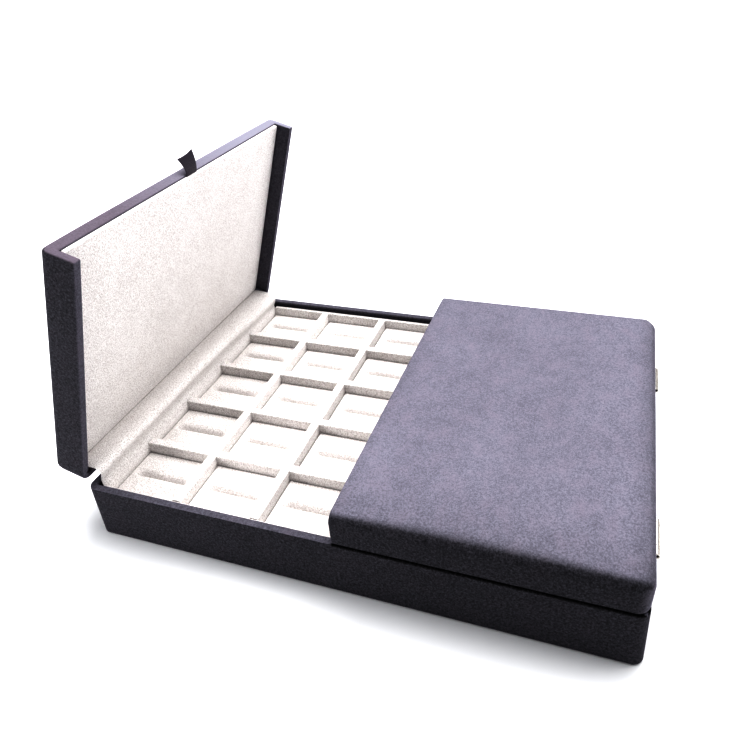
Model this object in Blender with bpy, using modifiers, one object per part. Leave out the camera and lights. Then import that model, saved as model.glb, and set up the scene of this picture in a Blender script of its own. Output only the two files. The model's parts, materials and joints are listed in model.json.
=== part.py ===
"""Ring display case: a wrapped base with thirty slit pads under two side-hinged lids.

Metres, +Z up. The origin is the centre of the underside, +Y points to the back of the case,
and the two lids are hinged at its left (-X) and right (+X) ends. The left lid stands open and
the right lid is shut.
"""

import math

import bmesh
import bpy
from mathutils import Matrix, Vector

# Outer sizes
CASE_WIDTH = 0.342
CASE_DEPTH = 0.250
BASE_HEIGHT = 0.0396
CASE_HEIGHT = 0.060
RIM_GAP = 0.0006
LIDS_GAP = 0.0006
LEFT_LID_OPEN_DEG = 72.7

# Boards wrapped in suede
BASE_WALL = 0.0048
BASE_FLOOR = 0.0048
LID_WALL = 0.0040
LID_PANEL = 0.0064
PLAN_RADIUS = 0.0060
LID_EDGE_RADIUS = 0.0045
BASE_EDGE_RADIUS = 0.0025

# Tray inside the base
COLUMNS = 6
ROWS = 5
DIVIDER_THICK = 0.0060
FRAME_THICK = 0.0036
DIVIDER_DROP = 0.0043
TRAY_FLOOR_THICK = 0.0025
DIVIDER_ROUND = 0.0009

# Ring pads
PAD_DROP = 0.0081
PAD_CROWN = 0.0007
PAD_CROWN_INSET = 0.0090
CROWN_STEPS = 2
PAD_ROUND = 0.0020
SLIT_MARGIN = 0.0038
SLIT_DEPTH = 0.0095
SLIT_WIDTH = 0.0008
SLIT_MOUTH = 0.0042
SLIT_MOUTH_DEPTH = 0.0018

# Lid pads
LID_PAD_THICK = 0.0014
LID_PAD_CROWN = 0.0007
LID_PAD_CROWN_INSET = 0.0140
LID_PAD_ROUND = 0.0008
LID_PAD_SETBACK = 0.0015

# Hinge covers, the padded cloth between the base and each lid
COVER_THICK = 0.0012
COVER_ON_LID = 0.0025
COVER_CREASE_RISE = 0.0042
COVER_CREASE_LEAN = 0.0007
COVER_STEPS = 14
OPEN_COVER_LID_PULL = 0.0180
OPEN_COVER_LID_DEG = 22.0
OPEN_COVER_BASE_PULL = 0.0120
OPEN_COVER_BASE_DEG = 14.0
SHUT_COVER_LID_PULL = 0.0190
SHUT_COVER_LID_DEG = 75.0
SHUT_COVER_BASE_PULL = 0.0160
SHUT_COVER_BASE_DEG = 97.0

# Butt hinges, each centred this far in from the end of the case
HINGE_INSET = 0.0515
HINGE_LENGTH = 0.028
HINGE_OUT = 0.0025
HINGE_UP = 0.0010
BARREL_RADIUS = 0.0019
PIN_RADIUS = 0.0008
PIN_SHORT = 0.0006
KNUCKLES = 4
LEAF_THICK = 0.0008
LEAF_AIR = 0.00015
LEAF_REACH = 0.0056
LEAF_EDGE = 0.0022
TAB_START = 0.0012
SCREW_HEAD_RADIUS = 0.00095
SCREW_RADIUS = 0.00045
SCREW_LENGTH = 0.0055
SCREW_FROM_AXIS = 0.0040
SCREW_SPACING = 0.0170

# Ribbon pull on the left lid
RIBBON_WIDTH = 0.012
RIBBON_THICK = 0.0004
RIBBON_TUCK = 0.010
RIBBON_REACH = 0.0115
RIBBON_LEAN = 0.0052
RIBBON_PULL = 0.0040
RIBBON_TIP_DEG = 32.0
RIBBON_STEPS = 6

# Clearances
FIT = 0.0003
OVERRUN = 0.002

# Heights and faces that follow from the sizes above
TRAY_FLOOR_LOW = BASE_FLOOR + FIT
TRAY_FLOOR_TOP = TRAY_FLOOR_LOW + TRAY_FLOOR_THICK
TRAY_STAND = TRAY_FLOOR_TOP + FIT
DIVIDER_TOP = BASE_HEIGHT - DIVIDER_DROP
PAD_TOP = DIVIDER_TOP - PAD_DROP
SPLIT_Z = BASE_HEIGHT + RIM_GAP / 2
HINGE_Z = SPLIT_Z + HINGE_UP
HINGE_SPACING = CASE_DEPTH - 2 * HINGE_INSET
LID_RIM_Z = BASE_HEIGHT + RIM_GAP
TRAY_FACE = BASE_WALL + FIT + FRAME_THICK
INNER_HALF_WIDTH = CASE_WIDTH / 2 - TRAY_FACE
INNER_HALF_DEPTH = CASE_DEPTH / 2 - TRAY_FACE
CELL_WIDTH = (2 * INNER_HALF_WIDTH - (COLUMNS - 1) * DIVIDER_THICK) / COLUMNS
CELL_DEPTH = (2 * INNER_HALF_DEPTH - (ROWS - 1) * DIVIDER_THICK) / ROWS

# The same faces as a lid sees them, from its own hinge axis
LID_TOP = CASE_HEIGHT - HINGE_Z
LID_RIM = LID_RIM_Z - HINGE_Z
LID_UNDER = LID_TOP - LID_PANEL
LID_FREE = HINGE_OUT + CASE_WIDTH / 2 - LIDS_GAP / 2
LID_INNER_END = HINGE_OUT + LID_WALL
LID_PAD_FACE = LID_UNDER - FIT - LID_PAD_THICK
BASE_LEAF_LOW = -HINGE_UP - LEAF_AIR - LEAF_THICK
LID_LEAF_LOW = -HINGE_UP + LEAF_AIR

# The two ends of the case and the two hinges at each end, with the side of the centre they are on
SIDES = (("left", -1), ("right", 1))
ENDS = (("front", -1), ("back", 1))

# Distance within which two places count as the same, and the angle that stays a sharp edge
SAME_PLACE = 0.00001
SHARP_DEG = 35.0


def clear_scene():
    """Removes whatever the scene holds at the start."""
    for obj in list(bpy.data.objects):
        bpy.data.objects.remove(obj, do_unlink=True)


def new_collection(name):
    """Adds a collection under the scene's own."""
    made = bpy.data.collections.new(name)
    bpy.context.scene.collection.children.link(made)
    return made


def new_material(name, colour, roughness, metallic=0.0):
    """A Principled material with one colour, roughness and metallic value."""
    made = bpy.data.materials.new(name)
    made.use_nodes = True
    shader = made.node_tree.nodes["Principled BSDF"]
    shader.inputs["Base Color"].default_value = (*colour, 1.0)
    shader.inputs["Roughness"].default_value = roughness
    shader.inputs["Metallic"].default_value = metallic
    made.diffuse_color = (*colour, 1.0)
    return made


def box(low, high):
    """A box between two corners, as a new bmesh."""
    made = bmesh.new()
    bmesh.ops.create_cube(made, size=1.0)
    low, high = Vector(low), Vector(high)
    bmesh.ops.scale(made, vec=high - low, verts=made.verts)
    bmesh.ops.translate(made, vec=(low + high) / 2, verts=made.verts)
    return made


def join(body, other, place=None):
    """Puts a second bmesh into the first, at a place of its own, and frees it."""
    mesh = to_mesh(other, "joined")
    if place:
        mesh.transform(place)
    body.from_mesh(mesh)
    bpy.data.meshes.remove(mesh)


def boxes(corners):
    """Several boxes that don't meet, in one bmesh."""
    made = bmesh.new()
    for low, high in corners:
        join(made, box(low, high))
    return made


def edges_at(body, **planes):
    """Edges that lie wholly in each of the given planes, such as x=0.1."""
    found = []
    for edge in body.edges:
        if all(
            abs(getattr(vert.co, axis) - place) < SAME_PLACE
            for axis, place in planes.items()
            for vert in edge.verts
        ):
            found.append(edge)
    return found


def round_edges(body, edges, radius, segments):
    """Rounds the given edges of a bmesh."""
    bmesh.ops.bevel(
        body,
        geom=edges,
        offset=radius,
        offset_type="OFFSET",
        segments=segments,
        profile=0.5,
        affect="EDGES",
        clamp_overlap=True,
    )


def to_mesh(body, name):
    """Turns a bmesh into a mesh with its faces pointing out, and frees it."""
    bmesh.ops.recalc_face_normals(body, faces=body.faces)
    mesh = bpy.data.meshes.new(name)
    body.to_mesh(mesh)
    body.free()
    return mesh


def add_part(name, mesh, finish, parent=None, place=(0, 0, 0)):
    """Adds a named sub-part to the case."""
    obj = bpy.data.objects.new(name, mesh)
    PARTS.objects.link(obj)
    obj.parent = parent
    obj.location = place
    mesh.shade_smooth()
    mesh.set_sharp_from_angle(angle=math.radians(SHARP_DEG))
    if not mesh.materials:
        mesh.materials.append(finish)
    return obj


def add_cutter(target, name, body, operation="DIFFERENCE"):
    """Cuts a shape out of a part, or joins it on, and keeps it as a wire guide."""
    cutter = bpy.data.objects.new(name, to_mesh(body, name))
    CUTTERS.objects.link(cutter)
    cutter.parent = target.parent
    cutter.location = target.location
    cutter.hide_render = True
    cutter.display_type = "WIRE"
    modifier = target.modifiers.new(name, "BOOLEAN")
    modifier.operation = operation
    modifier.object = cutter
    return cutter


def carved(name, body, steps):
    """The mesh of a repeated piece, after its cuts and joins, with the helpers removed."""
    blank = bpy.data.objects.new(name, to_mesh(body, name))
    CUTTERS.objects.link(blank)
    helpers = [
        add_cutter(blank, f"{name}_{number}", shape, operation)
        for number, (operation, shape) in enumerate(steps)
    ]
    graph = bpy.context.evaluated_depsgraph_get()
    mesh = bpy.data.meshes.new_from_object(blank.evaluated_get(graph))
    mesh.name = name
    for helper in [*helpers, blank]:
        bpy.data.objects.remove(helper, do_unlink=True)
    return mesh


def cylinder(radius, length, segments):
    """A closed cylinder along Y, centred on the origin."""
    made = bmesh.new()
    bmesh.ops.create_cone(
        made,
        cap_ends=True,
        segments=segments,
        radius1=radius,
        radius2=radius,
        depth=length,
        matrix=Matrix.Rotation(math.pi / 2, 4, "X"),
    )
    return made


def mirrored_span(value):
    """The two places at -value and +value."""
    return (-value, value)


def cushion(low, high, rounding, crown, crown_inset, segments):
    """A padded block whose top is rounded at its edges and swells by its crown."""
    body = box(low, high)
    low, high = Vector(low), Vector(high)
    uprights = [
        edge
        for x in (low.x, high.x)
        for y in (low.y, high.y)
        for edge in edges_at(body, x=x, y=y)
    ]
    round_edges(body, uprights, rounding, segments)
    round_edges(body, edges_at(body, z=high.z), rounding, segments)
    top = [face for face in body.faces if abs(face.calc_center_median().z - high.z) < SAME_PLACE]
    centre, half = (low + high) / 2, (high - low) / 2
    flat = half - Vector((rounding, rounding, 0))
    for step in range(1, CROWN_STEPS + 1):
        before, share = (step - 1) / CROWN_STEPS, step / CROWN_STEPS
        bmesh.ops.inset_region(body, faces=top, thickness=0)
        for vert in {corner for face in top for corner in face.verts}:
            vert.co.x = centre.x + (vert.co.x - centre.x) * (
                (flat.x - share * crown_inset) / (flat.x - before * crown_inset)
            )
            vert.co.y = centre.y + (vert.co.y - centre.y) * (
                (flat.y - share * crown_inset) / (flat.y - before * crown_inset)
            )
            vert.co.z = high.z + crown * math.sin(share * math.pi / 2)
    return body


def hinge_places():
    """Each hinge's name, with its centre and the turn about Z that points its +X into the case."""
    places = {}
    for side_name, side in SIDES:
        for end_name, end in ENDS:
            centre = Vector((side * (CASE_WIDTH / 2 + HINGE_OUT), end * HINGE_SPACING / 2, HINGE_Z))
            places[f"{side_name}_{end_name}"] = (centre, 0 if side < 0 else math.pi)
    return places


def rebate_boxes(low, high):
    """Room for a leaf in a rim, at both hinges of one end, in that end's hinge frame."""
    half = HINGE_LENGTH / 2 + FIT
    return [
        (
            (HINGE_OUT - OVERRUN, along - half, low),
            (LEAF_REACH + FIT, along + half, high),
        )
        for along in mirrored_span(HINGE_SPACING / 2)
    ]


def axis_offsets():
    """Places of one end's two hinges along their shared axis."""
    return [Matrix.Translation((0, along, 0)) for along in mirrored_span(HINGE_SPACING / 2)]


def screw_offsets():
    """Places of one hinge's screws, from the hinge's centre."""
    return [
        Matrix.Translation((SCREW_FROM_AXIS, along, 0)) for along in mirrored_span(SCREW_SPACING / 2)
    ]


def screw_holes(centres, top):
    """Holes for the screws' shanks at several hinges, reaching down from a height."""
    length = SCREW_LENGTH + FIT
    body = bmesh.new()
    for centre in centres:
        for offset in screw_offsets():
            hole = bmesh.new()
            bmesh.ops.create_cone(
                hole,
                cap_ends=True,
                segments=8,
                radius1=SCREW_RADIUS + FIT,
                radius2=SCREW_RADIUS + FIT,
                depth=length,
                matrix=Matrix.Translation((0, 0, top - length / 2)),
            )
            join(body, hole, centre @ offset)
    return body


def build_base_case():
    """The base: four walls and a floor of board, wrapped in suede as one piece."""
    half_width, half_depth = CASE_WIDTH / 2, CASE_DEPTH / 2
    body = box((-half_width, -half_depth, 0), (half_width, half_depth, BASE_HEIGHT))
    corners = [
        edge
        for x in mirrored_span(half_width)
        for y in mirrored_span(half_depth)
        for edge in edges_at(body, x=x, y=y)
    ]
    round_edges(body, corners, PLAN_RADIUS, 4)
    round_edges(body, edges_at(body, z=0), BASE_EDGE_RADIUS, 2)
    case = add_part("base_case", to_mesh(body, "base_case"), SUEDE)
    inner_width, inner_depth = half_width - BASE_WALL, half_depth - BASE_WALL
    reach = Vector((inner_width, inner_depth, 0))
    low, high = Vector((0, 0, BASE_FLOOR)), Vector((0, 0, BASE_HEIGHT + OVERRUN))
    add_cutter(case, "base_hollow", box(low - reach, high + reach))
    rebates = bmesh.new()
    holes = bmesh.new()
    for side, turn in ((-1, 0), (1, math.pi)):
        axis_centre = Vector((side * (half_width + HINGE_OUT), 0, HINGE_Z))
        place = Matrix.Translation(axis_centre) @ Matrix.Rotation(turn, 4, "Z")
        join(rebates, boxes(rebate_boxes(BASE_LEAF_LOW - FIT, BASE_HEIGHT - HINGE_Z + OVERRUN)), place)
        join(holes, screw_holes(axis_offsets(), BASE_LEAF_LOW + LEAF_THICK), place)
    add_cutter(case, "base_rebates", rebates)
    add_cutter(case, "base_screw_holes", holes)


def build_tray_box():
    """The folded tray box: a floor, wrapped strips front and back, and a board at each end.

    A slot beside each end board lets the hinge cover down between it and the cells.
    """
    half_width, half_depth = CASE_WIDTH / 2 - BASE_WALL - FIT, CASE_DEPTH / 2 - BASE_WALL - FIT
    body = box((-half_width, -half_depth, TRAY_FLOOR_LOW), (half_width, half_depth, DIVIDER_TOP))
    tray = add_part("tray_box", to_mesh(body, "tray_box"), CREAM)
    top = DIVIDER_TOP + OVERRUN
    behind_cover = INNER_HALF_WIDTH + COVER_THICK + FIT
    before_cover = INNER_HALF_WIDTH - FIT
    cells = (
        (-behind_cover, -INNER_HALF_DEPTH, TRAY_FLOOR_TOP),
        (behind_cover, INNER_HALF_DEPTH, top),
    )
    add_cutter(tray, "tray_cells", box(*cells))
    slot_depth = half_depth + OVERRUN
    slots = (
        (
            (min(side * behind_cover, side * before_cover), -slot_depth, TRAY_FLOOR_TOP),
            (max(side * behind_cover, side * before_cover), slot_depth, top),
        )
        for _, side in SIDES
    )
    add_cutter(tray, "cover_slots", boxes(slots))


def cell_low(index, half, cell):
    """The low face of a cell, counted from the low end of the tray."""
    return -half + index * (cell + DIVIDER_THICK)


def divider_centres(count, half, cell):
    """Centres of the dividers between a number of cells."""
    return [cell_low(index, half, cell) - DIVIDER_THICK / 2 for index in range(1, count)]


def divider_blank(half_length):
    """A divider along X before its slots are cut, centred on the origin."""
    half_thick = DIVIDER_THICK / 2
    body = box((-half_length, -half_thick, TRAY_STAND), (half_length, half_thick, DIVIDER_TOP))
    tops = [edge for y in mirrored_span(half_thick) for edge in edges_at(body, y=y, z=DIVIDER_TOP)]
    round_edges(body, tops, DIVIDER_ROUND, 2)
    return body


def build_dividers():
    """Row and column dividers, halved into each other where they cross."""
    columns = divider_centres(COLUMNS, INNER_HALF_WIDTH, CELL_WIDTH)
    rows = divider_centres(ROWS, INNER_HALF_DEPTH, CELL_DEPTH)
    middle = (TRAY_STAND + DIVIDER_TOP) / 2
    half_slot = DIVIDER_THICK / 2 + FIT
    half_wide = DIVIDER_THICK / 2 + OVERRUN
    row_slots = boxes(
        ((x - half_slot, -half_wide, TRAY_STAND - OVERRUN), (x + half_slot, half_wide, middle + FIT / 2))
        for x in columns
    )
    column_slots = boxes(
        ((y - half_slot, -half_wide, middle - FIT / 2), (y + half_slot, half_wide, DIVIDER_TOP + OVERRUN))
        for y in rows
    )
    row_mesh = carved("row_divider", divider_blank(INNER_HALF_WIDTH - FIT), [("DIFFERENCE", row_slots)])
    column_mesh = carved(
        "column_divider", divider_blank(INNER_HALF_DEPTH - FIT), [("DIFFERENCE", column_slots)]
    )
    for number, y in enumerate(rows, 1):
        add_part(f"row_divider_{number}", row_mesh, CREAM, place=(0, y, 0))
    for number, x in enumerate(columns, 1):
        divider = add_part(f"column_divider_{number}", column_mesh, CREAM, place=(x, 0, 0))
        divider.rotation_euler.z = math.pi / 2


def slit_cutter(half_length):
    """The slot that a ring's band sits in, widening to a soft mouth at the pad's face."""
    throat = PAD_TOP - SLIT_MOUTH_DEPTH
    top = PAD_TOP + PAD_CROWN + OVERRUN
    half_width = SLIT_WIDTH / 2
    body = box((-half_length, -half_width, PAD_TOP - SLIT_DEPTH), (half_length, half_width, top))
    everything = [*body.verts, *body.edges, *body.faces]
    bmesh.ops.bisect_plane(body, geom=everything, plane_co=(0, 0, throat), plane_no=(0, 0, 1))
    spread = (SLIT_MOUTH - SLIT_WIDTH) / 2 * (top - throat) / (PAD_TOP - throat)
    for vert in body.verts:
        if vert.co.z > throat + SAME_PLACE:
            vert.co.x += math.copysign(spread / 2, vert.co.x)
            vert.co.y += math.copysign(spread, vert.co.y)
    return body


def build_ring_pads():
    """Thirty foam pads in cloth, each with a slit from side to side."""
    half_width, half_depth = CELL_WIDTH / 2 - FIT, CELL_DEPTH / 2 - FIT
    blank = cushion(
        (-half_width, -half_depth, TRAY_STAND),
        (half_width, half_depth, PAD_TOP),
        PAD_ROUND,
        PAD_CROWN,
        PAD_CROWN_INSET,
        2,
    )
    pad_mesh = carved("ring_pad", blank, [("DIFFERENCE", slit_cutter(half_width - SLIT_MARGIN))])
    for row in range(ROWS):
        y = cell_low(row, INNER_HALF_DEPTH, CELL_DEPTH) + CELL_DEPTH / 2
        for column in range(COLUMNS):
            x = cell_low(column, INNER_HALF_WIDTH, CELL_WIDTH) + CELL_WIDTH / 2
            add_part(f"ring_pad_{row + 1}_{column + 1}", pad_mesh, CREAM, place=(x, y, 0))


def lid_point(along, height, open_angle):
    """A point of a lid's section, as distance in from the base's outer end and height."""
    turned_in = along * math.cos(open_angle) - height * math.sin(open_angle)
    turned_up = along * math.sin(open_angle) + height * math.cos(open_angle)
    return Vector((turned_in - HINGE_OUT, turned_up + HINGE_Z))


def bezier(start, start_pull, end_pull, end, steps):
    """Points of a cubic curve between two ends and their pulls."""
    points = []
    for step in range(steps + 1):
        t = step / steps
        s = 1 - t
        points.append(
            s**3 * start + 3 * s * s * t * start_pull + 3 * s * t * t * end_pull + t**3 * end
        )
    return points


def cover_section(open_angle, lid_pull, lid_deg, base_pull, base_deg):
    """Middle line of a hinge cover, from the tray floor up and over to the lid's pad.

    The cloth runs up the tray's end board, leans back to a crease under the rim, and then
    arches over to the inside of the lid's hinge wall. Both pulls are given as a length and
    as an angle: from the lid's wall at its end, and from upright at the crease.
    """
    upright = TRAY_FACE - COVER_THICK / 2
    crease = Vector((upright - COVER_CREASE_LEAN, DIVIDER_TOP + COVER_CREASE_RISE))
    on_wall = LID_INNER_END + FIT + COVER_THICK / 2
    leave = lid_point(on_wall, LID_UNDER - FIT - COVER_ON_LID, open_angle)
    lid_side = math.radians(lid_deg)
    pulled = lid_point(
        on_wall + lid_pull * math.sin(lid_side),
        LID_UNDER - FIT - COVER_ON_LID - lid_pull * math.cos(lid_side),
        open_angle,
    )
    base_side = math.radians(base_deg)
    raised = crease + base_pull * Vector((math.sin(base_side), math.cos(base_side)))
    arch = bezier(crease, raised, pulled, leave, COVER_STEPS)
    foot = Vector((upright, TRAY_STAND))
    shoulder = Vector((upright, DIVIDER_TOP - FIT))
    return [foot, shoulder, *arch, lid_point(on_wall, LID_UNDER - FIT, open_angle)]


def build_hinge_cover(name, side, section):
    """The padded cloth that covers one end's hinges and joins the tray to the lid."""
    half_depth = CASE_DEPTH / 2 - BASE_WALL - FIT
    body = swept_sheet(
        section, half_depth, lambda point, y: (side * (CASE_WIDTH / 2 - point.x), y, point.y)
    )
    cover = add_part(name, to_mesh(body, name), CREAM)
    thicken(cover, COVER_THICK)


def countersinks(low, faces_up):
    """Countersunk holes through a leaf for its screws, wide at the top or at the underside."""
    slope = (SCREW_HEAD_RADIUS - SCREW_RADIUS) / LEAF_THICK
    turn = Matrix.Identity(4) if faces_up else Matrix.Rotation(math.pi, 4, "X")
    centre = Matrix.Translation((0, 0, low + LEAF_THICK / 2))
    holes = bmesh.new()
    for offset in screw_offsets():
        bmesh.ops.create_cone(
            holes,
            cap_ends=True,
            segments=8,
            radius1=SCREW_RADIUS + FIT - slope * FIT,
            radius2=SCREW_HEAD_RADIUS + FIT + slope * FIT,
            depth=LEAF_THICK + 2 * FIT,
            matrix=offset @ centre @ turn,
        )
    return holes


def leaf_mesh(name, low, own_knuckles, faces_up):
    """One hinge leaf about its own axis: a plate with tabs and knuckles, bored for the pin."""
    half = HINGE_LENGTH / 2
    pitch = HINGE_LENGTH / KNUCKLES
    high = low + LEAF_THICK
    plate = box((TAB_START, -half, low), (LEAF_REACH, half, high))
    notches = bmesh.new()
    tubes = bmesh.new()
    for index in range(KNUCKLES):
        start, stop = -half + index * pitch, -half + (index + 1) * pitch
        if index in own_knuckles:
            shape = cylinder(BARREL_RADIUS, pitch - FIT, 16)
            bmesh.ops.translate(shape, vec=(0, (start + stop) / 2, 0), verts=shape.verts)
            join(tubes, shape)
        else:
            start -= FIT / 2 if index else OVERRUN
            stop += FIT / 2 if index < KNUCKLES - 1 else OVERRUN
            join(notches, box((TAB_START - OVERRUN, start, low - OVERRUN), (LEAF_EDGE, stop, high + OVERRUN)))
    bore = cylinder(PIN_RADIUS + FIT, HINGE_LENGTH + OVERRUN, 12)
    steps = [
        ("DIFFERENCE", notches),
        ("UNION", tubes),
        ("DIFFERENCE", bore),
        ("DIFFERENCE", countersinks(low, faces_up)),
    ]
    return carved(name, plate, steps)


def build_base_hinges():
    """The hinge leaves and pins that stay with the base."""
    leaf = leaf_mesh("base_leaf", BASE_LEAF_LOW, range(0, KNUCKLES, 2), True)
    pin = to_mesh(cylinder(PIN_RADIUS, HINGE_LENGTH - 2 * PIN_SHORT, 12), "hinge_pin")
    for name, (centre, turn) in hinge_places().items():
        for piece, mesh in ((f"hinge_{name}_base_leaf", leaf), (f"hinge_{name}_pin", pin)):
            add_part(piece, mesh, NICKEL, place=centre).rotation_euler.z = turn


def build_lid(side_name, side, pivot):
    """One lid about its hinge axis: wrapped shell, inner pad and hinge leaves.

    In the lid's own frame +X runs from the hinge axis to the free edge, with the lid shut.
    """
    half_depth = CASE_DEPTH / 2
    body = box((HINGE_OUT, -half_depth, LID_RIM), (LID_FREE, half_depth, LID_TOP))
    corners = [edge for y in mirrored_span(half_depth) for edge in edges_at(body, x=HINGE_OUT, y=y)]
    round_edges(body, corners, PLAN_RADIUS, 4)
    free_edges = set(edges_at(body, x=LID_FREE, z=LID_TOP))
    outline = [edge for edge in edges_at(body, z=LID_TOP) if edge not in free_edges]
    round_edges(body, outline, LID_EDGE_RADIUS, 4)
    shell = add_part(f"lid_{side_name}", to_mesh(body, f"lid_{side_name}"), SUEDE, pivot)
    inner_depth = half_depth - LID_WALL
    add_cutter(
        shell,
        f"lid_{side_name}_hollow",
        box(
            (LID_INNER_END, -inner_depth, LID_RIM - OVERRUN),
            (LID_FREE + OVERRUN, inner_depth, LID_UNDER),
        ),
    )
    rebates = boxes(rebate_boxes(LID_RIM - OVERRUN, LID_LEAF_LOW + LEAF_THICK + FIT))
    add_cutter(shell, f"lid_{side_name}_rebates", rebates)
    upside_down = Matrix.Rotation(math.pi, 4, "X")
    places = [centre @ upside_down for centre in axis_offsets()]
    add_cutter(shell, f"lid_{side_name}_screw_holes", screw_holes(places, -LID_LEAF_LOW))

    pad_start = LID_INNER_END + 2 * FIT + COVER_THICK
    pad_reach = inner_depth - FIT
    pad = cushion(
        (pad_start, -pad_reach, -LID_UNDER + FIT),
        (LID_FREE - LID_PAD_SETBACK, pad_reach, -LID_PAD_FACE),
        LID_PAD_ROUND,
        LID_PAD_CROWN,
        LID_PAD_CROWN_INSET,
        2,
    )
    bmesh.ops.rotate(pad, cent=(0, 0, 0), matrix=Matrix.Rotation(math.pi, 3, "X"), verts=pad.verts)
    padded = add_part(f"lid_pad_{side_name}", to_mesh(pad, f"lid_pad_{side_name}"), CREAM, pivot)

    leaf = leaf_mesh(f"lid_{side_name}_leaf", LID_LEAF_LOW, range(1, KNUCKLES, 2), False)
    for end_name, end in ENDS:
        along = -side * end * HINGE_SPACING / 2
        add_part(f"hinge_{side_name}_{end_name}_lid_leaf", leaf, NICKEL, pivot, (0, along, 0))
    return padded


def swept_sheet(section, half_depth, place):
    """A sheet that runs along Y, from the points of its section and a function that places them."""
    body = bmesh.new()
    near = [body.verts.new(place(point, -half_depth)) for point in section]
    line = [body.edges.new(pair) for pair in zip(near, near[1:])]
    far = bmesh.ops.extrude_edge_only(body, edges=line)["geom"]
    verts = [item for item in far if isinstance(item, bmesh.types.BMVert)]
    bmesh.ops.translate(body, vec=(0, 2 * half_depth, 0), verts=verts)
    return body


def thicken(sheet, thickness):
    """Gives a sheet its thickness, half to each side."""
    wall = sheet.modifiers.new("thickness", "SOLIDIFY")
    wall.thickness = thickness
    wall.offset = 0.0
    wall.use_even_offset = True


def build_ribbon(pivot, lid_pad):
    """The satin tab, tucked between the lid's panel and pad and standing past the free edge."""
    height = LID_UNDER - FIT - RIBBON_THICK / 2
    pocket_low = height - RIBBON_THICK / 2 - FIT
    half_width = RIBBON_WIDTH / 2
    add_cutter(
        lid_pad,
        "ribbon_pocket",
        box(
            (LID_FREE - RIBBON_TUCK - FIT, -half_width - FIT, pocket_low),
            (LID_FREE + OVERRUN, half_width + FIT, LID_UNDER),
        ),
    )
    mouth = Vector((LID_FREE, height))
    tip = Vector((LID_FREE + RIBBON_REACH, height + RIBBON_LEAN))
    end_turn = math.radians(RIBBON_TIP_DEG)
    bend = bezier(
        mouth,
        mouth + Vector((RIBBON_PULL, 0)),
        tip - RIBBON_PULL * Vector((math.cos(end_turn), math.sin(end_turn))),
        tip,
        RIBBON_STEPS,
    )
    section = [Vector((LID_FREE - RIBBON_TUCK, height)), *bend]
    body = swept_sheet(section, half_width, lambda point, y: (point.x, y, point.y))
    ribbon = add_part("ribbon_pull", to_mesh(body, "ribbon_pull"), SATIN, pivot)
    thicken(ribbon, RIBBON_THICK)


def lid_pivot(name, side, open_deg):
    """An empty on a lid's hinge axis, whose +X runs to the lid's free edge when it is shut."""
    pivot = bpy.data.objects.new(name, None)
    PARTS.objects.link(pivot)
    pivot.location = (side * (CASE_WIDTH / 2 + HINGE_OUT), 0, HINGE_Z)
    pivot.rotation_euler = (0, -math.radians(open_deg), 0 if side < 0 else math.pi)
    return pivot


clear_scene()
PARTS = new_collection("ring_display_case")
CUTTERS = new_collection("cutters")
SUEDE = new_material("suede", (0.105, 0.098, 0.125), 0.95)
CREAM = new_material("cream_cloth", (0.78, 0.74, 0.70), 0.95)
NICKEL = new_material("nickel", (0.75, 0.73, 0.69), 0.30, 1.0)
SATIN = new_material("satin", (0.030, 0.026, 0.034), 0.40)

build_base_case()
build_tray_box()
build_dividers()
build_ring_pads()
build_base_hinges()
LEFT_PIVOT = lid_pivot("left_lid_pivot", -1, LEFT_LID_OPEN_DEG)
RIGHT_PIVOT = lid_pivot("right_lid_pivot", 1, 0)
LEFT_LID_PAD = build_lid("left", -1, LEFT_PIVOT)
build_lid("right", 1, RIGHT_PIVOT)
build_ribbon(LEFT_PIVOT, LEFT_LID_PAD)
build_hinge_cover(
    "hinge_cover_left",
    -1,
    cover_section(
        math.radians(LEFT_LID_OPEN_DEG),
        OPEN_COVER_LID_PULL,
        OPEN_COVER_LID_DEG,
        OPEN_COVER_BASE_PULL,
        OPEN_COVER_BASE_DEG,
    ),
)
build_hinge_cover(
    "hinge_cover_right",
    1,
    cover_section(
        0,
        SHUT_COVER_LID_PULL,
        SHUT_COVER_LID_DEG,
        SHUT_COVER_BASE_PULL,
        SHUT_COVER_BASE_DEG,
    ),
)
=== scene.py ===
"""Looks of a ring display case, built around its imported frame.

Metres, +Z up. The origin is the centre of the case's underside and +Y points to its back.
The left lid stands open and the right lid is shut. Each lid is modelled shut, in a frame of
its own whose origin is on the hinge axis and whose +X runs to the free edge, and is then put
in its place.
"""

import json
import logging
import math
import random
from contextlib import contextmanager
from dataclasses import dataclass
from enum import Enum
from typing import Any, Callable, Iterable, Iterator, Sequence, Union

import bmesh
import bpy
from mathutils import Euler, Matrix, Vector, noise

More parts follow.
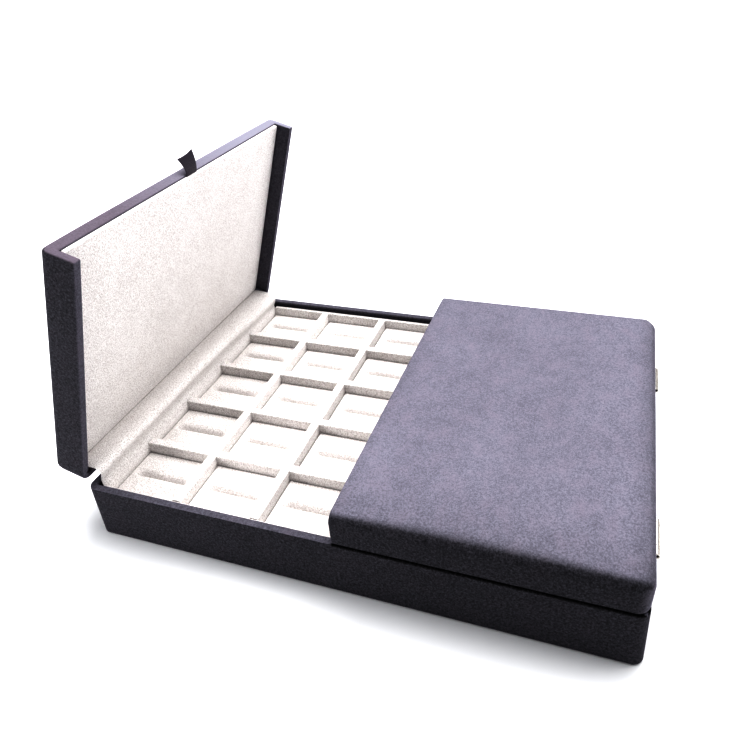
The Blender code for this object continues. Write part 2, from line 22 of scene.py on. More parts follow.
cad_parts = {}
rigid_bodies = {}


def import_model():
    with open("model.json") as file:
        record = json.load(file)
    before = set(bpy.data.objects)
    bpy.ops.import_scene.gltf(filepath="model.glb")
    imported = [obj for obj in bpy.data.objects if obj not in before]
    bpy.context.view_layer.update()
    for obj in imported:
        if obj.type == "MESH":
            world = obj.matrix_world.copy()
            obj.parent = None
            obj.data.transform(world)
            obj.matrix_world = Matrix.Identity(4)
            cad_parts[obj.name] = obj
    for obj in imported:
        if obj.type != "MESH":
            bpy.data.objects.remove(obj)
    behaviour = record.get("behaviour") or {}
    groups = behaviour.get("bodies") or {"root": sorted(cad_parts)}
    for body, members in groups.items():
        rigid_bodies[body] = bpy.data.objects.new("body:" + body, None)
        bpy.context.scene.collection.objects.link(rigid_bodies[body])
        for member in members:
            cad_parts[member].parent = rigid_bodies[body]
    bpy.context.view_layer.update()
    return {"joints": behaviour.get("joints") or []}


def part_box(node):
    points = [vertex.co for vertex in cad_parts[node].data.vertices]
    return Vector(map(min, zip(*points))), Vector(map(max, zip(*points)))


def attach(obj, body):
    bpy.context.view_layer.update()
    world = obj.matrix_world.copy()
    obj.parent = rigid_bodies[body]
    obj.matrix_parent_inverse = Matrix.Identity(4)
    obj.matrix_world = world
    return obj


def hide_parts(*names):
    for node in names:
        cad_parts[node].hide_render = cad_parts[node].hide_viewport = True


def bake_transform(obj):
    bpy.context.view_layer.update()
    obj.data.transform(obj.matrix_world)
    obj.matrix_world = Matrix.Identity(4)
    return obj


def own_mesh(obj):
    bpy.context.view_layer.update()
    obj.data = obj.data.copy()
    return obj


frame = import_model()

LOG = logging.getLogger("ring_case")

# How close two places are the same, how far a cutter reaches past what it cuts, the room
# between fitted pieces, and how many of its radii below a rounded rim a cut lies.
NEAR = 0.00002
OVERRUN = 0.002
FIT = 0.0003
RIM_CUT = 1.15

# Least cosine of a line along an axis and of a face that looks in a direction, and the least
# angle of a sharp edge.
STRAIGHT = 0.999
SQUARE_ON = 0.99
SHARP_ANGLE = math.radians(30)

Corner = Sequence[float]
Box = tuple[Vector, Vector]
Test = Callable[[Any], bool]
Paint = Callable[[Vector, Vector], float]


class Body(Enum):
    """The bodies that pieces ride on."""

    BASE = "base"
    LEFT_LID = "left_lid"
    RIGHT_LID = "right_lid"


class Slot(Enum):
    """The record's material slots."""

    SUEDE = "suede"
    CREAM = "cream_cloth"
    NICKEL = "nickel"
    SATIN = "satin"


class Side(Enum):
    """An end of the case, with the sign of its X."""

    LEFT = -1
    RIGHT = 1

    @property
    def label(self) -> str:
        """The side's name in a node's name."""
        return self.name.lower()

    @property
    def body(self) -> Body:
        """The body of the lid at this side."""
        return Body[f"{self.name}_LID"]


class End(Enum):
    """Which of a lid's two hinges, with the sign of its Y."""

    FRONT = -1
    BACK = 1

    @property
    def label(self) -> str:
        """The end's name in a node's name."""
        return self.name.lower()


class Kind(Enum):
    """What a pick in edit mode selects."""

    VERT = "verts"
    EDGE = "edges"
    FACE = "faces"


class Wire:
    """A value in a node tree, on which sums can be written."""

    def __init__(self, recipe: "Recipe", socket: bpy.types.NodeSocket) -> None:
        """Keeps the socket and the tree that it is in."""
        self.recipe = recipe
        self.socket = socket

    def _sum(self, operation: str, first: "Operand", second: "Operand") -> "Wire":
        """Adds the Math node of one operation on two operands."""
        return self.recipe.add("ShaderNodeMath", {"operation": operation}, {0: first, 1: second})

    def __add__(self, other: "Operand") -> "Wire":
        """The sum of two values."""
        return self._sum("ADD", self, other)

    __radd__ = __add__

    def __sub__(self, other: "Operand") -> "Wire":
        """This value less another."""
        return self._sum("SUBTRACT", self, other)

    def __rsub__(self, other: "Operand") -> "Wire":
        """Another value less this one."""
        return self._sum("SUBTRACT", other, self)

    def __mul__(self, other: "Operand") -> "Wire":
        """The product of two values."""
        return self._sum("MULTIPLY", self, other)

    __rmul__ = __mul__

    def swing(self, weight: float) -> "Wire":
        """How far a noise is from its middle, times a weight."""
        return (self - 0.5) * weight


Operand = Union[Wire, float]


class Recipe:
    """The node tree of one finish, or of the world."""

    def __init__(self, owner: bpy.types.Material | bpy.types.World) -> None:
        """Empties the owner's tree.

        Args:
            owner: a new material or world.
        """
        owner.use_nodes = True
        self.owner = owner
        self.tree = owner.node_tree
        self.tree.nodes.clear()

    def add(
        self,
        kind: str,
        settings: dict[str, Any] | None = None,
        sockets: dict[str | int, Any] | None = None,
        out: str | int = 0,
    ) -> Wire:
        """Adds one node.

        Args:
            kind: the node's type.
            settings: its settings, set first.
            sockets: values or wires for its inputs, by name or place.
            out: the output to return.

        Returns:
            The chosen output as a wire.
        """
        node = self.tree.nodes.new(kind)
        for name, value in (settings or {}).items():
            setattr(node, name, value)
        for name, value in (sockets or {}).items():
            if isinstance(value, Wire):
                self.tree.links.new(value.socket, node.inputs[name])
            else:
                node.inputs[name].default_value = value
        return Wire(self, node.outputs[out] if node.outputs else None)

    def place(self, stretch: Corner = (1.0, 1.0, 1.0), turn: Corner = (0.0, 0.0, 0.0)) -> Wire:
        """Object coordinates, in metres.

        Args:
            stretch: how much finer the pattern is along each axis.
            turn: angles of the pattern about each axis, in degrees.

        Returns:
            The coordinates.
        """
        spot = self.add("ShaderNodeTexCoord", out="Object")
        turned = tuple(math.radians(angle) for angle in turn)
        sockets = {"Vector": spot, "Scale": tuple(stretch), "Rotation": turned}
        return self.add("ShaderNodeMapping", sockets=sockets)

    def noise(self, spot: Wire, per_metre: float, detail: float = 2.0, rough: float = 0.55) -> Wire:
        """Soft noise about a half.

        Args:
            spot: the coordinates that it reads.
            per_metre: bumps to the metre.
            detail: octaves.
            rough: how strong the finer octaves are.

        Returns:
            The noise as a number.
        """
        sockets = {"Vector": spot, "Scale": per_metre, "Detail": detail, "Roughness": rough}
        return self.add("ShaderNodeTexNoise", sockets=sockets)

    def attribute(self, name: str) -> Wire:
        """A number painted on the mesh."""
        return self.add("ShaderNodeAttribute", {"attribute_name": name}, out="Fac")

    def ramp(self, value: Operand, low: float, high: float) -> Wire:
        """A value spread from 0 at low to 1 at high."""
        sockets = {"Value": value, "From Min": low, "From Max": high}
        return self.add("ShaderNodeMapRange", sockets=sockets)

    def blend(self, share: Operand, first: Any, second: Any) -> Wire:
        """A colour between two.

        Args:
            share: 0 for the first, 1 for the second.
            first: a colour or a wire.
            second: a colour or a wire.

        Returns:
            The mixed colour.
        """
        ends = [value if isinstance(value, Wire) else (*value, 1.0) for value in (first, second)]
        sockets = {"Factor": share, 6: ends[0], 7: ends[1]}
        return self.add("ShaderNodeMix", {"data_type": "RGBA"}, sockets, out=2)

    def relief(self, height: Wire, depth: float, strength: float, under: Wire | None = None) -> Wire:
        """A bump of a real depth.

        Args:
            height: the relief, from 0 to 1.
            depth: its depth in metres.
            strength: how much of it shows.
            under: a coarser bump below it.

        Returns:
            The normal.
        """
        sockets: dict[str | int, Any] = {"Height": height, "Distance": depth, "Strength": strength}
        if under:
            sockets["Normal"] = under
        return self.add("ShaderNodeBump", sockets=sockets)

    def finish(self, sockets: dict[str | int, Any]) -> bpy.types.Material:
        """Ends the tree in a Principled shader.

        Args:
            sockets: values or wires for the shader's inputs.

        Returns:
            The material.
        """
        surface = self.add("ShaderNodeBsdfPrincipled", sockets=sockets)
        self.add("ShaderNodeOutputMaterial", sockets={"Surface": surface})
        return self.owner


class Finish:
    """A finish that is made once and then shared."""

    slot: Slot
    _made: dict[str, bpy.types.Material] = {}

    def build(self) -> bpy.types.Material:
        """Makes the material."""
        raise NotImplementedError

    def material(self) -> bpy.types.Material:
        """Makes the material at its first use.

        Returns:
            The material that every piece of this finish shares.
        """
        key = repr(self)
        if key not in Finish._made:
            Finish._made[key] = self.build()
        return Finish._made[key]


@dataclass(frozen=True)
class Suede(Finish):
    """Lilac-grey suede with a short mottled nap.

    It is darkened by painted shade, read from a painted attribute: on faces that look sideways
    or down, on inner walls and in the groove under the shut lid. It is paler by painted light
    along the back of the open lid's free edge, and mauver by blush.
    """

    slot = Slot.SUEDE
    deep: Corner = (0.168, 0.159, 0.188)
    mid: Corner = (0.272, 0.264, 0.308)
    pale: Corner = (0.390, 0.381, 0.436)
    patch_colour: Corner = (0.298, 0.258, 0.300)
    mauve: Corner = (0.330, 0.278, 0.322)
    # The colour of the painted shade.
    flattened: Corner = (0.0, 0.0, 0.0)
    nap_per_m: float = 1300.0
    speck_per_m: float = 640.0
    patch_per_m: float = 110.0
    cloud_per_m: float = 24.0
    speck_weight: float = 0.65
    patch_weight: float = 0.30
    cloud_weight: float = 0.20
    mid_from: Corner = (0.0, 0.55)
    pale_from: Corner = (0.45, 1.05)
    patch_from: Corner = (0.45, 0.85)
    patch_stretch: Corner = (1.0, 0.7, 1.0)
    patch_share: float = 0.40
    patch_fray: float = 0.50
    # The strength of the painted shade, and how much the noise mottles it.
    brushed: float = 0.765
    mottle: float = 0.30
    nap_depth: float = 0.00022
    nap_relief: float = 0.55
    speck_relief: float = 0.35
    roughness: float = 0.86
    roughness_swing: float = 0.14
    specular: float = 0.30
    sheen: float = 0.08
    sheen_roughness: float = 0.45
    sheen_tint: Corner = (0.90, 0.86, 1.0, 1.0)

    def build(self) -> bpy.types.Material:
        """Mottles three shades by naps of four sizes.

        Returns:
            The material.
        """
        recipe = Recipe(bpy.data.materials.new("suede"))
        spot = recipe.place()
        nap = recipe.noise(spot, self.nap_per_m, rough=0.6)
        speck = recipe.noise(spot, self.speck_per_m, rough=0.6)
        patch = recipe.noise(recipe.place(self.patch_stretch), self.patch_per_m, detail=3.0)
        cloud = recipe.noise(spot, self.cloud_per_m)
        shade = 0.5 + nap.swing(1.0) + speck.swing(self.speck_weight)
        shade = shade + patch.swing(self.patch_weight) + cloud.swing(self.cloud_weight)
        colour = recipe.blend(recipe.ramp(shade, *self.mid_from), self.deep, self.mid)
        colour = recipe.blend(recipe.ramp(shade, *self.pale_from), colour, self.pale)
        patches = recipe.ramp(patch + speck.swing(self.patch_fray), *self.patch_from)
        colour = recipe.blend(patches * self.patch_share, colour, self.patch_colour)
        colour = recipe.blend(recipe.attribute("blush"), colour, self.mauve)
        # Painted shade: towards black where painted, on faces that look sideways or down, on inner walls,
        # in the groove under the shut lid and on the lids' tops near their edges.
        shade_amount = self.brushed + nap.swing(-self.mottle) + speck.swing(-self.mottle)
        colour = recipe.blend(recipe.attribute("nap") * shade_amount, colour, self.flattened)
        coarse = recipe.relief(speck, self.nap_depth, self.speck_relief)
        return recipe.finish(
            {
                # Painted light: paler where painted, along the back of the open lid's free edge.
                "Base Color": recipe.blend(recipe.attribute("wear"), colour, self.pale),
                "Roughness": self.roughness + patch.swing(self.roughness_swing),
                "Specular IOR Level": self.specular,
                "Sheen Weight": self.sheen,
                "Sheen Roughness": self.sheen_roughness,
                "Sheen Tint": self.sheen_tint,
                "Normal": recipe.relief(nap, self.nap_depth, self.nap_relief, coarse),
            }
        )


@dataclass(frozen=True)
class CreamCloth(Finish):
    """Warm off-white microfibre with a fine raised grain.

    It is darkened towards its shadow colour by painted shade, read from a painted attribute:
    on the slits' far lips, on the rows' fronts and in a line under the lid pad's lower edge.
    """

    slot = Slot.CREAM
    hollow: Corner = (0.590, 0.556, 0.540)
    face: Corner = (0.870, 0.850, 0.838)
    shadow: Corner = (0.330, 0.290, 0.280)
    grain_per_m: float = 1700.0
    curl_per_m: float = 1000.0
    cloud_per_m: float = 45.0
    curl_stretch: Corner = (1.0, 1.9, 1.0)
    curl_turn: Corner = (0.0, 0.0, 38.0)
    grain_weight: float = 1.5
    curl_weight: float = 1.6
    cloud_weight: float = 0.25
    face_from: Corner = (0.10, 0.70)
    shaded: float = 0.75
    grain_depth: float = 0.00030
    grain_relief: float = 0.6
    cloud_depth: float = 0.00120
    cloud_relief: float = 0.25
    roughness: float = 0.92
    roughness_swing: float = 0.08
    specular: float = 0.25
    sheen: float = 0.25
    sheen_roughness: float = 0.5

    def build(self) -> bpy.types.Material:
        """Sets small leaning curls over a finer grain.

        Returns:
            The material.
        """
        recipe = Recipe(bpy.data.materials.new("cream_cloth"))
        grain = recipe.noise(recipe.place(), self.grain_per_m, rough=0.6)
        turned = recipe.place(self.curl_stretch, self.curl_turn)
        curl = recipe.noise(turned, self.curl_per_m, detail=1.0)
        cloud = recipe.noise(recipe.place(), self.cloud_per_m)
        pile = 0.5 + grain.swing(self.grain_weight) + curl.swing(self.curl_weight)
        shade = recipe.ramp(pile + cloud.swing(self.cloud_weight), *self.face_from)
        cloth = recipe.blend(shade, self.hollow, self.face)
        # Painted shade, towards the shadow colour.
        painted_shade_share = recipe.attribute("pile") * self.shaded
        coarse = recipe.relief(cloud, self.cloud_depth, self.cloud_relief)
        return recipe.finish(
            {
                "Base Color": recipe.blend(painted_shade_share, cloth, self.shadow),
                "Roughness": self.roughness + grain.swing(self.roughness_swing),
                "Specular IOR Level": self.specular,
                "Sheen Weight": self.sheen,
                "Sheen Roughness": self.sheen_roughness,
                "Normal": recipe.relief(pile, self.grain_depth, self.grain_relief, coarse),
            }
        )


@dataclass(frozen=True)
class Nickel(Finish):
    """Satin nickel plate with fine marks along the leaf and duller spots."""

    slot = Slot.NICKEL
    bright: Corner = (0.66, 0.635, 0.600)
    dull: Corner = (0.42, 0.385, 0.355)
    mark_per_m: float = 9000.0
    mark_stretch: Corner = (1.0, 0.05, 1.0)
    mark_depth: float = 0.00002
    mark_relief: float = 0.6
    spot_per_m: float = 420.0
    tarnish_from: Corner = (0.50, 0.78)
    tarnish_share: float = 0.6
    roughness: float = 0.26
    roughness_swing: float = 0.12

    def build(self) -> bpy.types.Material:
        """Draws marks along Y over slightly tarnished plate.

        Returns:
            The material.
        """
        recipe = Recipe(bpy.data.materials.new("nickel"))
        marks = recipe.noise(recipe.place(self.mark_stretch), self.mark_per_m)
        spots = recipe.noise(recipe.place(), self.spot_per_m, detail=3.0)
        tarnish = recipe.ramp(spots, *self.tarnish_from)
        duller = marks * self.roughness_swing + tarnish * self.roughness_swing
        return recipe.finish(
            {
                "Base Color": recipe.blend(tarnish * self.tarnish_share, self.bright, self.dull),
                "Metallic": 1.0,
                "Roughness": self.roughness + duller,
                "Normal": recipe.relief(marks, self.mark_depth, self.mark_relief),
            }
        )


@dataclass(frozen=True)
class Satin(Finish):
    """Near-black satin ribbon with fine cross ribs."""

    slot = Slot.SATIN
    ground: Corner = (0.014, 0.009, 0.016)
    glint: Corner = (0.080, 0.062, 0.092)
    rib_per_m: float = 2600.0
    rib_wobble: float = 0.3
    rib_share: float = 0.5
    fibre_share: float = 0.4
    rib_depth: float = 0.00008
    rib_relief: float = 0.5
    roughness: float = 0.26
    roughness_swing: float = 0.14
    specular: float = 0.7
    sheen: float = 0.15
    sheen_roughness: float = 0.3

    def build(self) -> bpy.types.Material:
        """Ribs the cloth across its length, along the v of its map.

        Returns:
            The material.
        """
        recipe = Recipe(bpy.data.materials.new("satin"))
        spot = recipe.add("ShaderNodeUVMap", {"uv_map": "cloth"})
        bands = {"wave_type": "BANDS", "bands_direction": "Y", "wave_profile": "SIN"}
        sockets = {"Vector": spot, "Scale": self.rib_per_m / 2, "Distortion": self.rib_wobble}
        ribs = recipe.add("ShaderNodeTexWave", bands, sockets, out="Fac")
        fibre = recipe.noise(spot, self.rib_per_m)
        share = ribs * self.rib_share + fibre * self.fibre_share
        return recipe.finish(
            {
                "Base Color": recipe.blend(share, self.ground, self.glint),
                "Roughness": self.roughness + fibre * self.roughness_swing,
                "Specular IOR Level": self.specular,
                "Sheen Weight": self.sheen,
                "Sheen Roughness": self.sheen_roughness,
                "Normal": recipe.relief(ribs, self.rib_depth, self.rib_relief),
            }
        )


@dataclass(frozen=True)
class Paper(Finish):
    """The plain pale floor."""

    colour: Corner = (0.86, 0.86, 0.865)
    dimmer: float = 0.98
    cloud_per_m: float = 3.0
    roughness: float = 0.9

    def build(self) -> bpy.types.Material:
        """Gives the floor a faint unevenness.

        Returns:
            The material.
        """
        recipe = Recipe(bpy.data.materials.new("floor_paper"))
        cloud = recipe.noise(recipe.place(), self.cloud_per_m)
        dim = tuple(self.dimmer * channel for channel in self.colour)
        colour = recipe.blend(cloud, dim, self.colour)
        return recipe.finish({"Base Color": colour, "Roughness": self.roughness})


SUEDE = Suede()
CREAM = CreamCloth()
NICKEL = Nickel()
SATIN = Satin()


def clear_selection() -> None:
    """Deselects every object, the frame's own nodes among them."""
    for obj in bpy.context.view_layer.objects:
        obj.select_set(False)


def on_plane(axis: str, place: float) -> Test:
    """A test for what lies wholly in a plane.

    Args:
        axis: x, y or z.
        place: where the plane crosses that axis.

    Returns:
        The test, for a vertex, an edge or a face.
    """

    def test(item: Any) -> bool:
        """Whether every vertex of the item is in the plane."""
        verts = getattr(item, "verts", None) or [item]
        return all(abs(getattr(vert.co, axis) - place) < NEAR for vert in verts)

    return test


def along(axis: str) -> Test:
    """A test for straight edges that run along an axis.

    Args:
        axis: x, y or z.

    Returns:
        The test, for an edge.
    """

    def test(edge: bmesh.types.BMEdge) -> bool:
        """Whether the edge's line is the axis's."""
        line = (edge.verts[1].co - edge.verts[0].co).normalized()
        return abs(getattr(line, axis)) > STRAIGHT

    return test


def facing(direction: Corner) -> Test:
    """A test for faces that look in a direction."""
    return lambda face: face.normal.dot(Vector(direction)) > SQUARE_ON


def sharp(edge: bmesh.types.BMEdge) -> bool:
    """Whether an edge's two faces turn away from each other."""
    return len(edge.link_faces) == 2 and edge.calc_face_angle(0.0) > SHARP_ANGLE


def around_y(edge: bmesh.types.BMEdge) -> bool:
    """Whether a sharp edge goes round a rod along Y."""
    return sharp(edge) and not along("y")(edge)


def clamp(value: float) -> float:
    """The value kept between 0 and 1."""
    return min(1.0, max(0.0, value))


def ease(share: float) -> float:
    """A share from 0 to 1, eased at both ends."""
    share = clamp(share)
    return share * share * (3 - 2 * share)


def grown(box: Box, room: float) -> Box:
    """A box made larger all round."""
    return box[0] - Vector((room,) * 3), box[1] + Vector((room,) * 3)


def middle_of(node: str) -> Vector:
    """The middle of a node's box."""
    low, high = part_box(node)
    return (low + high) / 2


class Piece:
    """A mesh that is shaped with Blender's operators and then dressed."""

    def __init__(self, obj: bpy.types.Object) -> None:
        """Wraps an object."""
        self.obj = obj

    @classmethod
    def _adopt(cls, name: str) -> "Piece":
        """Names the primitive just added and puts its place into its mesh.

        Args:
            name: the piece's name.

        Returns:
            The piece.
        """
        obj = bpy.context.view_layer.objects.active
        obj.name = obj.data.name = name
        bpy.ops.object.transform_apply(location=True, rotation=True, scale=True)
        return cls(obj)

    @classmethod
    def block(cls, name: str, low: Corner, high: Corner) -> "Piece":
        """Makes a block.

        Args:
            name: the piece's name.
            low: its lowest corner.
            high: its highest corner.

        Returns:
            The piece.
        """
        clear_selection()
        low, high = Vector(low), Vector(high)
        bpy.ops.mesh.primitive_cube_add(size=1.0, location=(low + high) / 2)
        bpy.context.view_layer.objects.active.scale = high - low
        return cls._adopt(name)

    @classmethod
    def rod(cls, name: str, radius: float, low: Corner, high: Corner, sides: int) -> "Piece":
        """Makes a round rod.

        Args:
            name: the piece's name.
            radius: its radius.
            low: the middle of one end.
            high: the middle of the other end.
            sides: flat faces around it.

        Returns:
            The piece.
        """
        clear_selection()
        low, high = Vector(low), Vector(high)
        bpy.ops.mesh.primitive_cylinder_add(
            vertices=sides,
            radius=radius,
            depth=(high - low).length,
            location=(low + high) / 2,
            rotation=(high - low).to_track_quat("Z", "Y").to_euler(),
        )
        return cls._adopt(name)

    @classmethod
    def cone(cls, name: str, radii: Corner, depth: float, middle: Corner, sides: int) -> "Piece":
        """Makes a blunt cone along Z.

        Args:
            name: the piece's name.
            radii: the radius of its foot and of its top.
            depth: its height.
            middle: its middle.
            sides: flat faces around it.

        Returns:
            The piece.
        """
        clear_selection()
        bpy.ops.mesh.primitive_cone_add(
            vertices=sides, radius1=radii[0], radius2=radii[1], depth=depth, location=middle
        )
        return cls._adopt(name)

    @classmethod
    def sheet(cls, name: str, across: int, down: int, spot: Callable[[float, float], Vector]) -> "Piece":
        """A sheet whose points follow a function of two shares.

        Args:
            name: the piece's name.
            across: faces along the first share.
            down: faces along the second share.
            spot: the point at two shares from 0 to 1.

        Returns:
            The piece.
        """
        clear_selection()
        bpy.ops.mesh.primitive_grid_add(x_subdivisions=across, y_subdivisions=down, size=1.0)
        piece = cls._adopt(name)
        for vert in piece.obj.data.vertices:
            vert.co = spot(vert.co.x + 0.5, vert.co.y + 0.5)
        return piece

    @staticmethod
    def joined(pieces: Sequence["Piece"]) -> "Piece":
        """Makes separate pieces one, as they are.

        Args:
            pieces: the pieces, of which the first takes in the others.

        Returns:
            The first piece.
        """
        with pieces[0].active():
            for other in pieces[1:]:
                other.obj.select_set(True)
            if len(pieces) > 1:
                bpy.ops.object.join()
        return pieces[0]

    @contextmanager
    def active(self) -> Iterator[bpy.types.Object]:
        """Makes the piece the only selected object and the active one.

        Yields:
            The piece's object.
        """
        clear_selection()
        bpy.context.view_layer.objects.active = self.obj
        self.obj.select_set(True)
        yield self.obj

    @contextmanager
    def editing(self) -> Iterator["Piece"]:
        """Opens the piece in edit mode and closes it again.

        Yields:
            The piece.
        """
        with self.active():
            bpy.ops.object.mode_set(mode="EDIT")
            yield self
            bpy.ops.object.mode_set(mode="OBJECT")

    def pick(self, kind: Kind, *tests: Test) -> None:
        """Selects what passes every test, in edit mode.

        Args:
            kind: whether vertices, edges or faces are selected.
            tests: the tests.
        """
        bpy.ops.mesh.select_mode(type=kind.name)
        bpy.ops.mesh.select_all(action="DESELECT")
        mesh = bmesh.from_edit_mesh(self.obj.data)
        mesh.normal_update()
        found = [item for item in getattr(mesh, kind.value) if all(test(item) for test in tests)]
        for item in found:
            item.select_set(True)
        bmesh.update_edit_mesh(self.obj.data)

    def bevel(self, width: float, segments: int) -> None:
        """Rounds the selected edges, in edit mode.

        Args:
            width: how far from each edge its rounding starts.
            segments: the faces across it.
        """
        bpy.ops.mesh.bevel(
            offset_type="OFFSET",
            offset=width,
            segments=segments,
            profile=0.5,
            affect="EDGES",
            clamp_overlap=True,
        )

    def round_edges(self, width: float, segments: int, *tests: Test) -> None:
        """Rounds the edges that pass every test, in edit mode."""
        self.pick(Kind.EDGE, *tests)
        self.bevel(width, segments)

    def extrude(self, move: Corner) -> None:
        """Draws the selected faces out by a move."""
        bpy.ops.mesh.extrude_region_move(
            TRANSFORM_OT_translate={"value": tuple(move), "orient_type": "GLOBAL"}
        )

    def slice(self, axis: str, places: Iterable[float], trim: bool = False) -> None:
        """Cuts across the whole piece, in edit mode.

        Args:
            axis: the axis that the cuts are square to.
            places: where they cross it.
            trim: whether what lies past the cut goes, and the cut is closed.
        """
        normal = tuple(float(name == axis) for name in "xyz")
        for place in places:
            bpy.ops.mesh.select_all(action="SELECT")
            bpy.ops.mesh.bisect(
                plane_co=tuple(place * part for part in normal),
                plane_no=normal,
                use_fill=trim,
                clear_outer=trim,
                threshold=NEAR / 4,
            )

    def modify(self, kind: str, **settings: Any) -> None:
        """Adds a modifier and applies it.

        Args:
            kind: the modifier's type.
            settings: its settings.
        """
        with self.active() as obj:
            modifier = obj.modifiers.new(kind.lower(), kind)
            for name, value in settings.items():
                setattr(modifier, name, value)
            bpy.ops.object.modifier_apply(modifier=modifier.name)

    def combine(self, others: Sequence["Piece"], operation: str = "DIFFERENCE") -> None:
        """Cuts other pieces out of this one, or joins them on, and removes them.

        Args:
            others: the other pieces, which don't touch each other.
            operation: DIFFERENCE or UNION.
        """
        other = Piece.joined(others)
        self.modify("BOOLEAN", operation=operation, object=other.obj, solver="EXACT")
        other.discard()

    def move(self, matrix: Matrix) -> None:
        """Moves the mesh itself, with the object left where it is."""
        self.obj.data.transform(matrix)

    def twin(self, name: str, matrix: Matrix) -> "Piece":
        """Makes a copy with its own mesh.

        Args:
            name: the copy's name.
            matrix: the move from here to its place.

        Returns:
            The copy.
        """
        obj = self.obj.copy()
        obj.data = self.obj.data.copy()
        obj.name = obj.data.name = name
        bpy.context.scene.collection.objects.link(obj)
        made = Piece(obj)
        made.move(matrix)
        return made

    def discard(self) -> None:
        """Removes a pattern that copies were made from, or a cutter."""
        bpy.data.objects.remove(self.obj, do_unlink=True)

    def paint(self, name: str, value_at: Paint) -> None:
        """Paints a number on every point of the mesh.

        Args:
            name: the attribute's name.
            value_at: the number for a point's place and normal.
        """
        mesh = self.obj.data
        layer = mesh.attributes.new(name, "FLOAT", "POINT")
        for vert in mesh.vertices:
            layer.data[vert.index].value = value_at(vert.co, vert.normal)

    def dress(self, finish: Finish, body: Body | None, *nodes: str, angle: float = 35.0) -> None:
        """Gives the piece its finish and its body.

        Args:
            finish: its finish.
            body: the body that it rides on, or None to leave it on no body.
            nodes: the frame's nodes that it stands for.
            angle: edges sharper than this stay sharp, in degrees.
        """
        with self.active() as obj:
            obj.data.materials.clear()
            obj.data.materials.append(finish.material())
            bpy.ops.object.shade_smooth_by_angle(angle=math.radians(angle))
        if body:
            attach(self.obj, body.value)
        if nodes:
            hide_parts(*nodes)
        LOG.info("%s: %d faces", self.obj.name, len(self.obj.data.polygons))


@dataclass(frozen=True)
class Nap:
    """Painted shade on suede, darker where a face looks sideways or down, and a painted groove shadow."""

    down: float = 1.0
    hinge_end: float = 1.0
    free_end: float = 1.0
    turn: float = 0.55
    groove: float = 1.3

    def of(self, normal: Vector) -> float:
        """The painted shade of a face, from 0 where it looks up to its side's own share.

        Args:
            normal: the face's normal, on a lid or a base that is shut.

        Returns:
            The brushing.
        """
        sides = (
            (abs(normal.y), 1.0),
            (max(0.0, -normal.z), self.down),
            (max(0.0, -normal.x), self.hinge_end),
            (max(0.0, normal.x), self.free_end),
        )
        total = sum(part**2 for part, _ in sides)
        if not total:
            return 0.0
        side = sum(part**2 * share for part, share in sides) / total
        return ease((1 - max(0.0, normal.z)) / self.turn) * side


@dataclass(frozen=True)
class Stroke:
    """Painted shade that fades with the distance from an edge."""

    most: float
    reach: float

    def at(self, distance: float) -> float:
        """The painted shade at a distance from the edge."""
        return self.most * ease(1 - distance / self.reach)


@dataclass(frozen=True)
class Stuffing:
    """How a padded piece swells as its cover is filled.

    The piece is simulated at a larger scale, because the solver's constants suit furniture.
    """

    pressure: float = 0.06
    magnify: float = 10.0
    frames: int = 20
    quality: int = 5
    mass: float = 0.3

    def swell(self, piece: Piece, held: Callable[[Vector], bool], cap: Corner) -> None:
        """Simulates the cover under pressure and keeps the result.

        Args:
            piece: the piece, with its place in its mesh.
            held: whether a point is stuck down.
            cap: the furthest that a point may move along each axis, in metres.
        """
        mesh = piece.obj.data
        rest = [vert.co.copy() for vert in mesh.vertices]
        mesh.transform(Matrix.Scale(self.magnify, 4))
        group = piece.obj.vertex_groups.new(name="held")
        group.add([index for index, spot in enumerate(rest) if held(spot)], 1.0, "REPLACE")
        with piece.active() as obj:
            cloth = obj.modifiers.new("cloth", "CLOTH")
            settings = cloth.settings
            settings.quality = self.quality
            settings.mass = self.mass
            settings.use_pressure = True
            settings.uniform_pressure_force = self.pressure
            settings.vertex_group_mass = group.name
            settings.effector_weights.gravity = 0.0
            cloth.collision_settings.use_collision = False
            cloth.point_cache.frame_start = 1
            cloth.point_cache.frame_end = self.frames
            for step in range(1, self.frames + 1):
                bpy.context.scene.frame_set(step)
            bpy.ops.object.modifier_apply(modifier=cloth.name)
            obj.vertex_groups.clear()
        furthest = 0.0
        for vert, start in zip(mesh.vertices, rest):
            shift = vert.co / self.magnify - start
            furthest = max(furthest, shift.length)
            vert.co = start + Vector(max(-most, min(most, part)) for part, most in zip(shift, cap))
        bpy.context.scene.frame_set(1)
        LOG.info("%s swelled by up to %.2f mm", piece.obj.name, furthest * 1000)


@dataclass(frozen=True)
class LidFrame:
    """A lid's own frame: its origin on the hinge axis and +X to the free edge, lid shut."""

    side: Side
    axis: Vector
    opened: float

    @property
    def matrix(self) -> Matrix:
        """The lid's place in the case's frame."""
        turned = Euler((0.0, -self.opened, 0.0 if self.side is Side.LEFT else math.pi))
        return Matrix.Translation(self.axis) @ turned.to_matrix().to_4x4()

    @classmethod
    def of(cls, side: Side) -> "LidFrame":
        """Reads a lid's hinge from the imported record.

        Args:
            side: the lid's side.

        Returns:
            Its frame, opened as far as it can still shut.
        """
        joint = next(joint for joint in frame["joints"] if joint["name"] == f"{side.label}_lid_hinge")
        return cls(side, Vector(joint["pos_m"]), -math.radians(min(joint["range_deg"])))

    def local(self, node: str) -> Box:
        """A node's box as its lid sees it, for a lid that is shut.

        Args:
            node: the node's name.

        Returns:
            Its lowest and highest corner in the lid's frame.
        """
        inverse = self.matrix.inverted()
        first, second = (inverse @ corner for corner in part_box(node))
        return Vector(map(min, first, second)), Vector(map(max, first, second))


